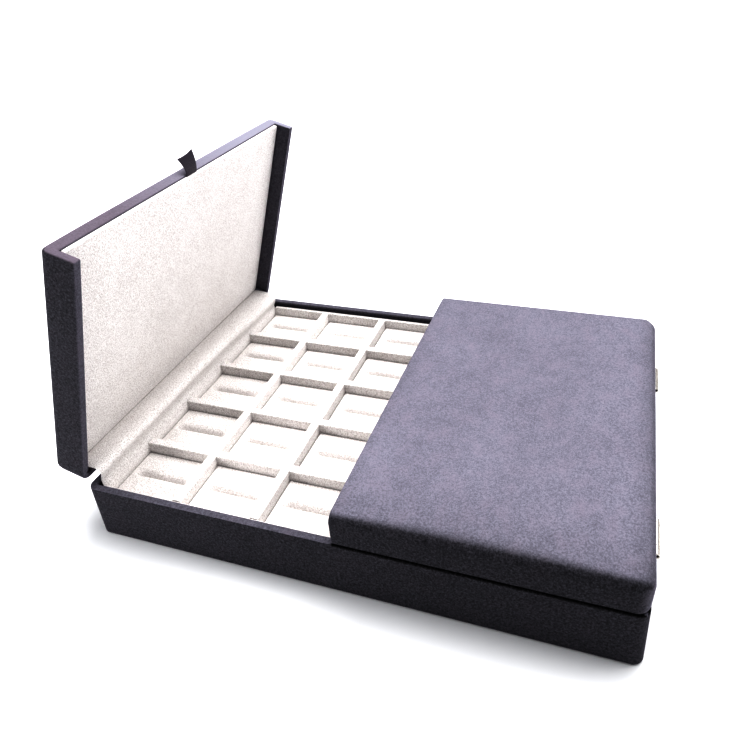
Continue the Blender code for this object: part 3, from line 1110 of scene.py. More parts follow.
def rebates(name: str, leaves: Iterable[Box], outward: int, opens_up: bool) -> list[Piece]:
    """Cutters for the room in a rim that the hinge leaves of one end take.

    Args:
        name: a name for the cutters.
        leaves: each leaf's box.
        outward: the sign of X towards the end's outer face.
        opens_up: whether the room is in the top of a rim, and not in its underside.

    Returns:
        The cutters.
    """
    cutters = []
    for number, leaf in enumerate(leaves):
        low, high = grown(leaf, FIT)
        if outward < 0:
            low.x -= OVERRUN
        else:
            high.x += OVERRUN
        if opens_up:
            high.z += OVERRUN
        else:
            low.z -= OVERRUN
        cutters.append(Piece.block(f"{name}_{number}", low, high))
    return cutters


@dataclass
class BaseCase:
    """The base: walls and a floor of board under one suede wrap."""

    wall: float = 0.0048
    floor: float = 0.0048
    plan_radius: float = 0.0060
    foot_radius: float = 0.0018
    rim_radius: float = 0.0017
    # Painted shade on the rim: its strength on the top, how far down and out it reaches, and the cuts
    # that bound the painted shadow under the shut lid.
    rim_nap: float = 0.50
    rim_band: float = 1.05
    rim_outside: float = 0.8
    groove_end: float = 0.001

    def build(self) -> None:
        """Models the base case."""
        self.low, self.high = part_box("base_case")
        shell = Piece.block("base_shell", self.low, self.high)
        with shell.editing():
            shell.pick(Kind.FACE, facing((0, 0, 1)))
            bpy.ops.mesh.inset(thickness=self.wall)
            shell.extrude((0, 0, self.floor - self.high.z))
            shell.round_edges(self.plan_radius, 10, along("z"), self._outermost)
            shell.round_edges(self.foot_radius, 6, on_plane("z", self.low.z), sharp)
            shell.round_edges(self.rim_radius, 4, on_plane("z", self.high.z), sharp)
            shell.slice("z", (self.high.z - self.rim_radius * RIM_CUT,))
            shell.slice("x", (-self.groove_end, self.groove_end))
        for side in Side:
            leaves = [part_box(f"hinge_{side.label}_{end.label}_base_leaf") for end in End]
            shell.combine(rebates("base_rebates", leaves, side.value, True))
        shell.paint("nap", self._brushing)
        shell.dress(SUEDE, Body.BASE, "base_case")

    def _outermost(self, edge: bmesh.types.BMEdge) -> bool:
        """Whether an edge is at an end of the case."""
        return abs(edge.verts[0].co.x) > self.high.x - NEAR

    def _brushing(self, spot: Vector, normal: Vector) -> float:
        """Painted shade on the base.

        Args:
            spot: a point of the base.
            normal: its normal.

        Returns:
            The painted shade, which is darkest, a painted shadow, at the rim under the shut lid.
        """
        brushed = Nap().of(normal)
        if spot.z < self.high.z - self.rim_radius * self.rim_band:
            return brushed
        past = max(abs(spot.x) - self.high.x, abs(spot.y) - self.high.y)
        if past <= -self.rim_radius * self.rim_outside:
            return self.rim_nap
        return Nap.groove if spot.x > 0 else max(self.rim_nap, brushed)


@dataclass
class Tray:
    """The folded tray box and the dividers halved into each other."""

    strip: float = 0.0036
    floor: float = 0.0025
    cloth_room: float = 0.0018
    strip_round: float = 0.0007
    divider_round: float = 0.0009
    crossing_gap: float = 0.00005
    # Painted shade on the rows' fronts, and how far forward a face must look to take it.
    front_pile: float = 0.16
    front_from: float = 0.3
    rows: int = 4
    columns: int = 5

    def build(self) -> None:
        """Models the tray box and its dividers."""
        self._box()
        rows = [middle_of(f"row_divider_{number}").y for number in range(1, self.rows + 1)]
        columns = [middle_of(f"column_divider_{number}").x for number in range(1, self.columns + 1)]
        self._dividers("row", 0, rows, columns)
        self._dividers("column", 1, columns, rows)

    def _box(self) -> None:
        """Models the box that carries the cells, with a slot at each end for the hinge cover."""
        low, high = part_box("tray_box")
        pad_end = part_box("ring_pad_1_1")[0].x
        floor, top = low.z + self.floor, high.z + OVERRUN
        tray = Piece.block("tray", low, high)
        end = pad_end - FIT
        inside = (end, low.y + self.strip, floor), (-end, high.y - self.strip, top)
        tray.combine([Piece.block("cells", *inside)])
        slots = []
        for side in Side:
            far = -pad_end + (self.cloth_room + FIT)
            start, stop = sorted((side.value * -pad_end, side.value * far))
            corners = (start - FIT, low.y - OVERRUN, floor), (stop + FIT, high.y + OVERRUN, top)
            slots.append(Piece.block(f"slot_{side.label}", *corners))
        tray.combine(slots)
        with tray.editing():
            tray.round_edges(self.strip_round, 3, on_plane("z", high.z), sharp)
        tray.dress(CREAM, Body.BASE, "tray_box")

    def _dividers(self, kind: str, axis: int, spots: Sequence[float], crossings: Sequence[float]) -> None:
        """Models one divider and places it at each of its spots.

        Args:
            kind: row or column.
            axis: 0 if it runs along X, 1 if along Y.
            spots: where the dividers stand.
            crossings: where the other dividers cross them.
        """
        pattern = self._divider(f"{kind}_divider_1", axis, crossings)
        for number, spot in enumerate(spots, 1):
            shift = Vector((0, 0, 0))
            shift[1 - axis] = spot - spots[0]
            board = pattern.twin(f"{kind}_board_{number}", Matrix.Translation(shift))
            board.dress(CREAM, Body.BASE, f"{kind}_divider_{number}")
        pattern.discard()

    def _divider(self, node: str, axis: int, crossings: Sequence[float]) -> Piece:
        """Models one divider with its halving slots, which are in a row's lower half.

        Args:
            node: the node whose box it fills.
            axis: 0 if it runs along X, 1 if along Y.
            crossings: where the other dividers cross it.

        Returns:
            The piece.
        """
        low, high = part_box(node)
        board = Piece.block("divider_pattern", low, high)
        self._round_top(board, high.z, axis)
        half = (high - low)[1 - axis] / 2 + self.crossing_gap
        middle = (low.z + high.z) / 2
        slots = []
        for number, spot in enumerate(crossings):
            start, stop = grown((low, high), OVERRUN)
            start[axis], stop[axis] = spot - half, spot + half
            if axis == 0:
                stop.z = middle + self.crossing_gap
            else:
                start.z, stop.z = middle - self.crossing_gap, high.z + self.crossing_gap
            slot = Piece.block(f"halving_{number}", start, stop)
            if axis == 1:
                self._round_top(slot, stop.z, 0)
            slots.append(slot)
        board.combine(slots)
        if axis == 0:
            # Painted shade on the row's front.
            board.paint("pile", self._leaning)
        return board

    def _leaning(self, _: Vector, normal: Vector) -> float:
        """Painted shade on a row's front, which faces away from the light."""
        return self.front_pile if normal.y < -self.front_from else 0.0

    def _round_top(self, piece: Piece, top: float, axis: int) -> None:
        """Rounds the top edges along an axis, of a divider or of a cutter for its slot."""
        with piece.editing():
            piece.round_edges(self.divider_round, 5, on_plane("z", top), along("xy"[axis]))


@dataclass
class RingPads:
    """Thirty foam pads under cloth, each with a slit whose soft lips roll in."""

    rows: int = 5
    columns: int = 6
    corner_radius: float = 0.0012
    edge_radius: float = 0.0007
    slack: float = 0.0001
    crown: float = 0.0007
    crown_share: float = 0.55
    level_cuts: Sequence[float] = (0.25, 0.5, 0.7, 0.85)
    held_share: float = 0.45
    swell_share: float = 0.6
    slit_margin: float = 0.0033
    slit_half_gap: float = 0.00016
    slit_depth: float = 0.0095
    slit_share: float = 0.97
    near_lip: float = 0.0020
    far_lip: float = 0.0052
    lip_depth: float = 0.0036
    lip_power: float = 1.2
    lip_end_power: float = 0.9
    # Painted shade on each slit's far lip: its strength, how fast it grows and how it fades towards the
    # slit's ends.
    lean: float = 0.42
    lean_gain: float = 1.7
    lean_taper: float = 0.30
    step: float = 0.0017
    patterns: int = 3
    slit_rows: Sequence[float] = (0.0, 0.00016, 0.0005, 0.0010, 0.0017, 0.0026, 0.0037, 0.0050)
    tilts: Corner = (0.006, 0.010)
    lift: float = 0.0005
    lift_swing: float = 0.0003
    waves: Sequence[Corner] = ((70, 0.00016), (240, 0.00005))
    stuffing: Stuffing = Stuffing()

    def build(self) -> None:
        """Models the patterns and places the pads."""
        low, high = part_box("ring_pad_1_1")
        self.home = (low + high) / 2
        self.reach = (high.x - low.x) / 2 - self.slit_margin
        patterns = [self._pattern(number, low, high) for number in range(self.patterns)]
        for row in range(1, self.rows + 1):
            for column in range(1, self.columns + 1):
                node = f"ring_pad_{row}_{column}"
                shift = middle_of(node) - self.home
                pattern = patterns[(row * 2 + column) % self.patterns]
                pad = pattern.twin(f"pad_{row}_{column}", Matrix.Translation(shift))
                self._settle(pad, self.home + shift, high.z, random.Random(row * 31 + column))
                # Painted shade on the slit's far lip.
                pad.paint("pile", self._leaning(self.home + Vector((shift.x, shift.y, 0))))
                pad.dress(CREAM, Body.BASE, node, angle=50.0)
        for pattern in patterns:
            pattern.discard()

    def _pattern(self, number: int, low: Vector, high: Vector) -> Piece:
        """Models one pad, swells it and cuts its slit.

        Args:
            number: which pattern it is.
            low: the pad's lowest corner.
            high: its highest corner, at the top of its crown.

        Returns:
            The piece.
        """
        top = high.z - self.crown
        inner = Vector((self.slack, self.slack, 0))
        pad = Piece.block(f"pad_pattern_{number}", low + inner, Vector((high.x, high.y, top)) - inner)
        half = (high - low) / 2 - inner
        with pad.editing():
            pad.round_edges(self.corner_radius, 4, along("z"))
            pad.round_edges(self.edge_radius, 4, on_plane("z", top), sharp)
            pad.slice("x", self._spread(self.home.x, (), half.x))
            pad.slice("y", self._spread(self.home.y, self.slit_rows, half.y))
            pad.slice("z", (low.z + share * (top - low.z) for share in self.level_cuts))
        self._crown(pad, top, half)
        held_under = low.z + self.held_share * (top - low.z)
        aside = self.slack * self.swell_share
        self.stuffing.swell(pad, lambda spot: spot.z < held_under, (aside, aside, self.crown))
        self._open_slit(pad, top, half.x - self.slit_margin, low.z)
        return pad

    def _spread(self, middle: float, near: Sequence[float], half: float) -> list[float]:
        """Places of the cuts from the middle of a pad to both of its sides.

        Args:
            middle: the pad's middle along the axis.
            near: distances of the close cuts beside the slit, or none.
            half: half the pad's size.

        Returns:
            The places.
        """
        start = near[-1] if near else 0.0
        room = half - self.corner_radius - start
        count = max(1, round(room / self.step))
        far = [start + room * index / count for index in range(1, count + 1)]
        distances = [*(near or (0.0,)), *far]
        return sorted({middle + sign * distance for distance in distances for sign in (-1, 1)})

    def _crown(self, pad: Piece, top: float, half: Vector) -> None:
        """Raises the face towards its middle.

        Args:
            pad: the pad.
            top: the height of its face.
            half: half its size.
        """
        for vert in pad.obj.data.vertices:
            if vert.co.z > top - self.edge_radius:
                across, deep = (vert.co - self.home).x / half.x, (vert.co - self.home).y / half.y
                rise = max(0.0, 1 - abs(across) ** 3) * max(0.0, 1 - abs(deep) ** 3)
                vert.co.z += self.crown * self.crown_share * rise

    def _open_slit(self, pad: Piece, top: float, reach: float, foot: float) -> None:
        """Rolls both lips in and draws the slit down between them.

        Args:
            pad: the pad.
            top: the height of its face.
            reach: half the slit's length.
            foot: the height of the pad's underside.
        """
        for vert in pad.obj.data.vertices:
            aside, run = vert.co.y - self.home.y, abs(vert.co.x - self.home.x) / reach
            gap = aside / self.far_lip if aside > 0 else -aside / self.near_lip
            if vert.co.z > top - self.edge_radius and gap < 1 and run < 1:
                roll = (1 - gap) ** self.lip_power * (1 - run**4) ** self.lip_end_power
                vert.co.z -= self.lip_depth * roll
        limit = self.slit_half_gap + NEAR * 3

        def between_lips(face: bmesh.types.BMFace) -> bool:
            """Whether a face on top lies in the slit's line."""
            return face.calc_center_median().z > (top + foot) / 2 and all(
                abs(vert.co.y - self.home.y) < limit
                and abs(vert.co.x - self.home.x) < reach * self.slit_share
                for vert in face.verts
            )

        with pad.editing():
            pad.pick(Kind.FACE, between_lips)
            pad.extrude((0, 0, self.lip_depth - self.slit_depth))

    def _leaning(self, middle: Vector) -> Paint:
        """Painted shade on the slit's far lip, which slopes away from the light.

        Args:
            middle: the pad's middle.

        Returns:
            A share from 0 to 1 for each point.
        """

        def leaning(point: Vector, _: Vector) -> float:
            """The share at a point of the pad."""
            spot = point - middle
            if spot.z < 0 or spot.y < -NEAR or abs(spot.x) > self.reach:
                return 0.0
            deep = min(1.0, self.lean_gain * ease(1 - spot.y / self.far_lip))
            return self.lean * deep * ease((1 - abs(spot.x) / self.reach) / self.lean_taper)

        return leaning

    def _settle(self, pad: Piece, middle: Vector, top: float, chance: random.Random) -> None:
        """Gives one pad its own slight tilt, lift and softness.

        Args:
            pad: the pad.
            middle: its middle.
            top: the height of its crown.
            chance: its own source of random numbers.
        """
        tilt_x, tilt_y = (chance.uniform(-most, most) for most in self.tilts)
        lift = self.lift + chance.uniform(-self.lift_swing, self.lift_swing)
        seed = Vector((chance.uniform(0, 9), chance.uniform(0, 9), 0))
        low = min(vert.co.z for vert in pad.obj.data.vertices)
        for vert in pad.obj.data.vertices:
            share = (vert.co.z - low) / (top - low)
            spot = vert.co - middle
            flat = Vector((spot.x, spot.y, 0))
            wave = sum(noise.noise(flat * per_metre + seed) * height for per_metre, height in self.waves)
            vert.co.z += share**3 * (tilt_x * spot.x + tilt_y * spot.y + lift + wave)


@dataclass
class HingeSet:
    """The four butt hinges, with two slotted screws in each leaf."""

    leaf_thick: float = 0.0008
    leaf_round: float = 0.00015
    leaf_edge: float = 0.0022
    leaf_start: float = 0.0012
    leaf_angle: float = 15.0
    barrel_radius: float = 0.0019
    bore_radius: float = 0.0011
    pin_radius: float = 0.0008
    pin_short: float = 0.0009
    knuckles: int = 4
    knuckle_gap: float = 0.00012
    knuckle_chamfer: float = 0.00008
    trim: float = 0.0026
    screw_spacing: float = 0.0170
    screw_from_axis: float = 0.0040
    screw_turn: float = 0.7
    screw_slack: float = 0.0001
    head_radius: float = 0.00115
    head_sunk: float = 0.95
    shank_radius: float = 0.00045
    shank_length: float = 0.0050
    shank_fit: float = 0.98
    shank_start: float = 0.8
    slot_width: float = 0.0003
    slot_depth: float = 0.00035

    def build(self) -> None:
        """Models a pattern of each part and places it at the four hinges."""
        low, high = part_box("hinge_left_front_base_leaf")
        axis = LidFrame.of(Side.LEFT).axis
        self.length = high.y - low.y - self.trim
        self.reach = high.x - axis.x
        self.base_low = low.z - axis.z
        self.lid_low = -self.knuckle_gap - self.leaf_thick
        self.base_leaf = self._leaf("base_leaf_pattern", self.base_low, (0, 2), True)
        self.lid_leaf = self._leaf("lid_leaf_pattern", self.lid_low, (1, 3), False)
        self.pin = self._pin()
        self.screw = self._screw()
        for side in Side:
            for end in End:
                self._place(side, end)
        for pattern in (self.base_leaf, self.lid_leaf, self.pin, self.screw):
            pattern.discard()

    def _place(self, side: Side, end: End) -> None:
        """Places one hinge with its screws.

        Args:
            side: the end of the case that it is at.
            end: which of the two there.
        """
        pivot = LidFrame.of(side)
        low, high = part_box(f"hinge_{side.label}_{end.label}_base_leaf")
        middle = (low.y + high.y - self.trim) / 2
        spot = Matrix.Translation((0, -side.value * middle, 0))
        on_base = LidFrame(side, pivot.axis, 0.0).matrix @ spot
        on_lid = pivot.matrix @ spot
        place = f"{side.label}_{end.label}"
        nodes = f"hinge_{place}"
        leaf = self.base_leaf.twin(f"leaf_{place}_base", on_base)
        leaf.dress(NICKEL, Body.BASE, f"{nodes}_base_leaf", angle=self.leaf_angle)
        self.pin.twin(f"pin_{place}", on_base).dress(NICKEL, Body.BASE, f"{nodes}_pin")
        leaf = self.lid_leaf.twin(f"leaf_{place}_lid", on_lid)
        leaf.dress(NICKEL, side.body, f"{nodes}_lid_leaf", angle=self.leaf_angle)
        top = Matrix.Translation((0, 0, self.base_low + self.leaf_thick))
        under = Matrix.Translation((0, 0, self.lid_low)) @ Matrix.Rotation(math.pi, 4, "X")
        for number, run in enumerate(self._screw_runs(), 1):
            hole = Matrix.Translation((self.screw_from_axis, run, 0))
            turn = Matrix.Rotation(self.screw_turn * number + end.value + side.value, 4, "Z")
            screw = self.screw.twin(f"screw_{place}_base_{number}", on_base @ hole @ top @ turn)
            screw.dress(NICKEL, Body.BASE)
            screw = self.screw.twin(f"screw_{place}_lid_{number}", on_lid @ hole @ under @ turn)
            screw.dress(NICKEL, side.body)

    def _screw_runs(self) -> Corner:
        """Where a leaf's two screws are along it."""
        return -self.screw_spacing / 2, self.screw_spacing / 2

    def _leaf(self, name: str, low: float, own: Sequence[int], faces_up: bool) -> Piece:
        """Models a leaf about its axis: a plate with rolled knuckles, bored and countersunk.

        Args:
            name: the pattern's name.
            low: the height of its plate's underside.
            own: the numbers of the knuckles that it carries.
            faces_up: whether its screws' heads are on its top.

        Returns:
            The piece.
        """
        half, pitch = self.length / 2, self.length / self.knuckles
        leaf = Piece.block(name, (self.leaf_start, -half, low), (self.reach, half, low + self.leaf_thick))
        with leaf.editing():
            leaf.round_edges(self.leaf_round, 2, on_plane("x", self.reach))
        notches, tubes = [], []
        for index in range(self.knuckles):
            start, stop = -half + index * pitch, -half + (index + 1) * pitch
            if index in own:
                ends = start + self.knuckle_gap / 2, stop - self.knuckle_gap / 2
                tubes.append(self._knuckle(index, *ends))
                continue
            start -= self.knuckle_gap / 2 if index else OVERRUN
            stop += self.knuckle_gap / 2 if index < self.knuckles - 1 else OVERRUN
            corners = (-OVERRUN, start, low - OVERRUN), (self.leaf_edge, stop, OVERRUN)
            notches.append(Piece.block(f"notch_{index}", *corners))
        leaf.combine(notches)
        leaf.combine(tubes, "UNION")
        ends = (0, -half - OVERRUN, 0), (0, half + OVERRUN, 0)
        leaf.combine([Piece.rod("bore", self.bore_radius, *ends, 24)])
        leaf.combine(self._countersinks(low, faces_up))
        return leaf

    def _knuckle(self, index: int, start: float, stop: float) -> Piece:
        """Models a knuckle's barrel with softened ends.

        Args:
            index: the knuckle's number.
            start: where it starts along Y.
            stop: where it stops.

        Returns:
            The piece.
        """
        tube = Piece.rod(f"knuckle_{index}", self.barrel_radius, (0, start, 0), (0, stop, 0), 36)
        with tube.editing():
            tube.round_edges(self.knuckle_chamfer, 2, around_y)
        return tube

    def _countersinks(self, low: float, faces_up: bool) -> list[Piece]:
        """Cutters for both screw holes of a leaf.

        Args:
            low: the height of the plate's underside.
            faces_up: whether the wide end is on top.

        Returns:
            The cutters.
        """
        wide, narrow = self.head_radius + self.screw_slack, self.shank_radius + self.screw_slack
        radii = (narrow, wide) if faces_up else (wide, narrow)
        depth, height = self.leaf_thick + NEAR * 4, low + self.leaf_thick / 2
        return [
            Piece.cone(f"countersink_{number}", radii, depth, (self.screw_from_axis, run, height), 24)
            for number, run in enumerate(self._screw_runs())
        ]

    def _pin(self) -> Piece:
        """Models the hinge pin.

        Returns:
            A rod, domed at its ends and a little shorter than the barrel.
        """
        half = self.length / 2 - self.pin_short
        pin = Piece.rod("pin_pattern", self.pin_radius, (0, -half, 0), (0, half, 0), 24)
        with pin.editing():
            pin.round_edges(self.pin_radius * 0.5, 4, around_y)
        return pin

    def _screw(self) -> Piece:
        """Models a slotted countersunk screw.

        Returns:
            The screw, upright, with its head level with z = 0.
        """
        depth = self.leaf_thick * self.head_sunk
        radii = (self.shank_radius, self.head_radius)
        screw = Piece.cone("screw_pattern", radii, depth, (0, 0, -depth / 2), 32)
        ends = (0, 0, -self.shank_length), (0, 0, -depth * self.shank_start)
        screw.combine([Piece.rod("shank", self.shank_radius * self.shank_fit, *ends, 16)], "UNION")
        reach, half = self.head_radius + OVERRUN, self.slot_width / 2
        screw.combine([Piece.block("slot", (-reach, -half, -self.slot_depth), (reach, half, OVERRUN))])
        return screw


@dataclass
class Lid:
    """One lid: a suede shell, open at its free edge, with a padded panel inside."""

    side: Side
    wall: float = 0.0040
    side_wall: float = 0.0055
    panel: float = 0.0064
    padding: float = 0.0015
    plan_radius: float = 0.0078
    top_radius: float = 0.0062
    top_crown: float = 0.0005
    crown_reach: float = 0.0450
    bulge: float = 0.0010
    bulge_start: float = 0.0025
    bulge_short: float = 0.0045
    bulge_power: float = 0.7
    rim_radius: float = 0.0012
    rebate_depth: float = 0.00095
    front_cuts: Corner = (0.0010, 0.0025, 0.0045, 0.0070, 0.0100, 0.0150, 0.0230, 0.0340, 0.0450)
    end_cuts: Sequence[float] = (0.0020, 0.0050, 0.0090, 0.0200, 0.0450)
    spare_cuts: int = 8
    # Painted shade: by the way a face looks, on the inner walls, in the groove over the base, and on top
    # towards the front, free and hinge edges.
    side_nap: Nap = Nap(down=0.5, hinge_end=0.30, free_end=0.10)
    front_nap: Nap = Nap(down=0.5, hinge_end=0.30, free_end=0.30)
    inside_nap: float = 0.72
    groove_from: float = 0.15
    top_from: float = 0.3
    edge_from: float = 0.5
    roll: Stroke = Stroke(0.62, 0.0042)
    roll_start: float = 0.0005
    roll_widens: float = 0.0060
    spread: Stroke = Stroke(0.19, 0.042)
    free_stroke: Stroke = Stroke(0.08, 0.009)
    hinge_stroke: Stroke = Stroke(0.24, 0.014)
    # Painted light: paler towards the back of the open lid's free edge.
    rubbed: Corner = (0.85, -0.005, 0.030)
    mauve: Corner = (0.60, 0.005, -0.020)
    pad_corner: float = 0.0018
    pad_edge: float = 0.0005
    pad_step: float = 0.0040
    pad_crown: float = 0.0003
    pad_rise: float = 0.7
    pad_rise_reach: float = 0.016
    pad_ripples: Sequence[Corner] = ((26, 0.30), (80, 0.10))
    pad_crease_cut: float = 1.8
    pad_swell_share: float = 0.6
    pad_start: float = 0.0076
    pad_end: float = 0.0009
    pad_face: float = 0.0100
    stuffing: Stuffing = Stuffing(pressure=0.03)

    def build(self) -> None:
        """Models the lid's shell and its pad."""
        self.place = LidFrame.of(self.side)
        self.shut = LidFrame.of(Side.RIGHT)
        self.low, self.high = self.shut.local("lid_right")
        self.high.z += self.padding
        self._shell()
        self._pad()

    def _shell(self) -> None:
        """Models the shell, shut, then puts it in its place."""
        low, high = self.low, self.high
        spare = high.x + 4 * self.plan_radius
        shell = Piece.block(f"lid_shell_{self.side.label}", low, (spare, high.y, high.z))
        at_spare, at_rim, at_free = on_plane("x", spare), on_plane("z", low.z), on_plane("x", high.x)
        with shell.editing():
            shell.round_edges(self.plan_radius, 10, along("z"), on_plane("x", low.x))
            shell.pick(Kind.EDGE, on_plane("z", high.z), sharp, lambda edge: not at_spare(edge))
            shell.bevel(self.top_radius, 8)
            shell.pick(Kind.FACE, facing((0, 0, -1)))
            bpy.ops.mesh.inset(thickness=self.wall)
            shell.extrude((0, 0, high.z - self.padding - self.panel - low.z))
            for end in End:
                shell.pick(Kind.VERT, on_plane("y", end.value * (high.y - self.wall)))
                shift = end.value * (self.wall - self.side_wall)
                bpy.ops.transform.translate(value=(0, shift, 0))
            shell.slice("x", (high.x,), trim=True)
            shell.pick(Kind.EDGE, sharp, lambda edge: at_rim(edge) or at_free(edge))
            shell.bevel(self.rim_radius, 4)
            self._cut_for_paint(shell)
        leaves = []
        for end in End:
            leaf_low, leaf_high = self.shut.local(f"hinge_right_{end.label}_lid_leaf")
            leaf_high.z = low.z + self.rebate_depth - FIT
            leaves.append((leaf_low, leaf_high))
        shell.combine(rebates("lid_rebates", leaves, -1, False))
        # Painted shade, darkest as a painted shadow in the groove over the base.
        shell.paint("nap", self._brushing)
        # Painted light along the back of the open lid's free edge.
        shell.paint("wear", self._along_free_edge(*self.rubbed))
        shell.paint("blush", self._along_free_edge(*self.mauve))
        self._plump(shell)
        shell.move(self.place.matrix)
        shell.dress(SUEDE, self.side.body, f"lid_{self.side.label}")

    def _cut_for_paint(self, shell: Piece) -> None:
        """Cuts lines near the edges and across the top, for the painted shade and the crown.

        Args:
            shell: the shell, in edit mode.
        """
        low, high = self.low, self.high
        shell.slice("z", (low.z + self.rim_radius * RIM_CUT,))
        shell.slice("y", (low.y + self.top_radius + step for step in self.front_cuts))
        shell.slice("y", (high.y - self.top_radius - step for step in self.end_cuts))
        shell.slice("x", (low.x + self.top_radius + step for step in self.end_cuts))
        shell.slice("x", (high.x - step for step in self.end_cuts))
        span = (high.x - low.x) / self.spare_cuts
        shell.slice("x", (low.x + span * (index + 0.5) for index in range(1, self.spare_cuts - 1)))

    def _brushing(self, spot: Vector, normal: Vector) -> float:
        """Painted shade on the shell.

        Args:
            spot: a point of the shell, shut.
            normal: its normal.

        Returns:
            The painted shade, which is darkest, a painted shadow, in the groove over the base.
        """
        low, high = self.low, self.high
        outside = max(-spot.x + low.x + self.wall, abs(spot.y) - high.y + self.wall) > self.wall / 2
        in_groove = outside and spot.z < low.z + self.rim_radius and normal.z < -self.groove_from
        if self.side is Side.RIGHT and in_groove:
            return Nap.groove
        if normal.y * spot.y < 0 and abs(spot.y) < high.y - self.side_wall + NEAR:
            return self.inside_nap
        nap = self.front_nap if self.side is Side.LEFT and spot.y < 0 else self.side_nap
        return min(1.0, nap.of(normal) + self._stroked(spot, normal))

    def _stroked(self, spot: Vector, normal: Vector) -> float:
        """Painted shade on top, deeper towards the lid's edges.

        Args:
            spot: a point of the shell, shut.
            normal: its normal.

        Returns:
            The painted shade that this adds.
        """
        if normal.z < self.top_from:
            return 0.0
        low, high = self.low, self.high
        middle = math.sin(math.pi * clamp((spot.x - low.x) / (high.x - low.x)))
        front = spot.y - low.y if self.side is Side.LEFT else high.y - spot.y
        roll = Stroke(self.roll.most, self.roll.reach + self.roll_widens * middle)
        at_ends = self.free_stroke.at(high.x - spot.x) + self.hinge_stroke.at(spot.x - low.x)
        return roll.at(front - self.roll_start) + self.spread.at(front) + at_ends

    def _along_free_edge(self, most: float, start: float, run: float) -> Paint:
        """A share that grows along the open lid's free edge.

        Args:
            most: the largest share.
            start: the place along Y where it starts.
            run: how far it grows, which is negative towards the front.

        Returns:
            The share for each point.
        """

        def share(spot: Vector, normal: Vector) -> float:
            """The share at a point of the shell, shut."""
            if self.side is Side.RIGHT or normal.x < self.edge_from:
                return 0.0
            return most * ease((spot.y - start) / run)

        return share

    def _plump(self, shell: Piece) -> None:
        """Lets the padded top fall a little to its edges and its walls swell.

        The back edges and the left lid's front edge are turned tighter than the others.

        Args:
            shell: the shell, still shut.
        """
        low, high, radius = self.low, self.high, self.top_radius
        depth = self.panel + self.padding - self.top_crown
        for vert in shell.obj.data.vertices:
            spot = vert.co
            back = high.y if self.side is Side.LEFT and spot.y > 0 else low.y
            turn_y = 1 - abs(back - spot.y) / radius
            turn_z = 1 - (high.z - spot.z) / radius
            if turn_y > 0 and turn_z > 0:
                swell = (turn_y**2 + turn_z**2) ** 0.5 / (turn_y**4 + turn_z**4) ** 0.25
                fuller = 1 + (swell - 1) * min(1.0, (turn_y**2 + turn_z**2) ** 2)
                spot.y = back - math.copysign(radius * (1 - turn_y * fuller), back)
                spot.z = high.z - radius * (1 - turn_z * fuller)
            over = max(0.0, (spot.z - (high.z - depth)) / depth)
            edge = min(spot.x - low.x, spot.y - low.y, high.y - spot.y)
            share = max(0.0, 1 - edge / (radius + self.crown_reach))
            spot.z -= self.top_crown * over * share**2
            if spot.x < low.x + self.wall / 2:
                rise = clamp((spot.z - self.bulge_start) / (high.z - self.bulge_short))
                spot.x -= self.bulge * math.sin(math.pi * rise) ** self.bulge_power

    def _pad_box(self) -> Box:
        """Finds the pad's place in the shut lid.

        Returns:
            Its box, from its crown below up to the lid's panel.
        """
        room = self.high.y - self.side_wall - FIT
        _, top = self.shut.local("lid_pad_right")
        low = Vector((self.pad_start, -room, self.pad_face - self.pad_crown))
        return low, Vector((self.high.x - self.pad_end, room, top.z))

    def _pad(self) -> None:
        """Models the padded panel face up, swells it and turns it over into the lid."""
        low, high = self._pad_box()
        thick = high.z - low.z - self.pad_crown
        middle, half = (low + high) / 2, (high - low) / 2
        name = f"lid_lining_{self.side.label}"
        pad = Piece.block(name, (low.x, low.y, 0), (high.x, high.y, thick))
        with pad.editing():
            pad.round_edges(self.pad_corner, 5, along("z"))
            pad.round_edges(self.pad_edge, 3, on_plane("z", thick), sharp)
            for axis, centre, room in (("x", middle.x, half.x), ("y", middle.y, half.y)):
                room -= self.pad_corner
                count = round(2 * room / self.pad_step)
                pad.slice(axis, (centre - room + 2 * room * index / count for index in range(count + 1)))
            pad.slice("x", (low.x + self.pad_edge * self.pad_crease_cut,))
        for vert in pad.obj.data.vertices:
            if vert.co.z > thick - self.pad_edge:
                inward = min(half.x - abs(vert.co.x - middle.x), half.y - abs(vert.co.y - middle.y))
                rise = math.sin(clamp(inward / self.pad_rise_reach) * math.pi / 2)
                spot = Vector((vert.co.x, vert.co.y, self.side.value))
                ripple = sum(noise.noise(spot * fine) * share for fine, share in self.pad_ripples)
                vert.co.z += self.pad_crown * rise * (self.pad_rise + ripple)
        cap = (0.0, 0.0, self.pad_crown * self.pad_swell_share)
        self.stuffing.swell(pad, lambda spot: spot.z < thick / 2, cap)
        # Painted shadow: a dark line along the pad's lower edge, where it stands over the hinge cover.
        shadow_line = low.x + self.pad_edge + NEAR
        pad.paint("pile", lambda spot, normal: float(spot.x < shadow_line))
        pad.move(Matrix.Translation((0, 0, high.z)) @ Matrix.Rotation(math.pi, 4, "X"))
        pad.move(self.place.matrix)
        pad.dress(CREAM, self.side.body, f"lid_pad_{self.side.label}", angle=50.0)


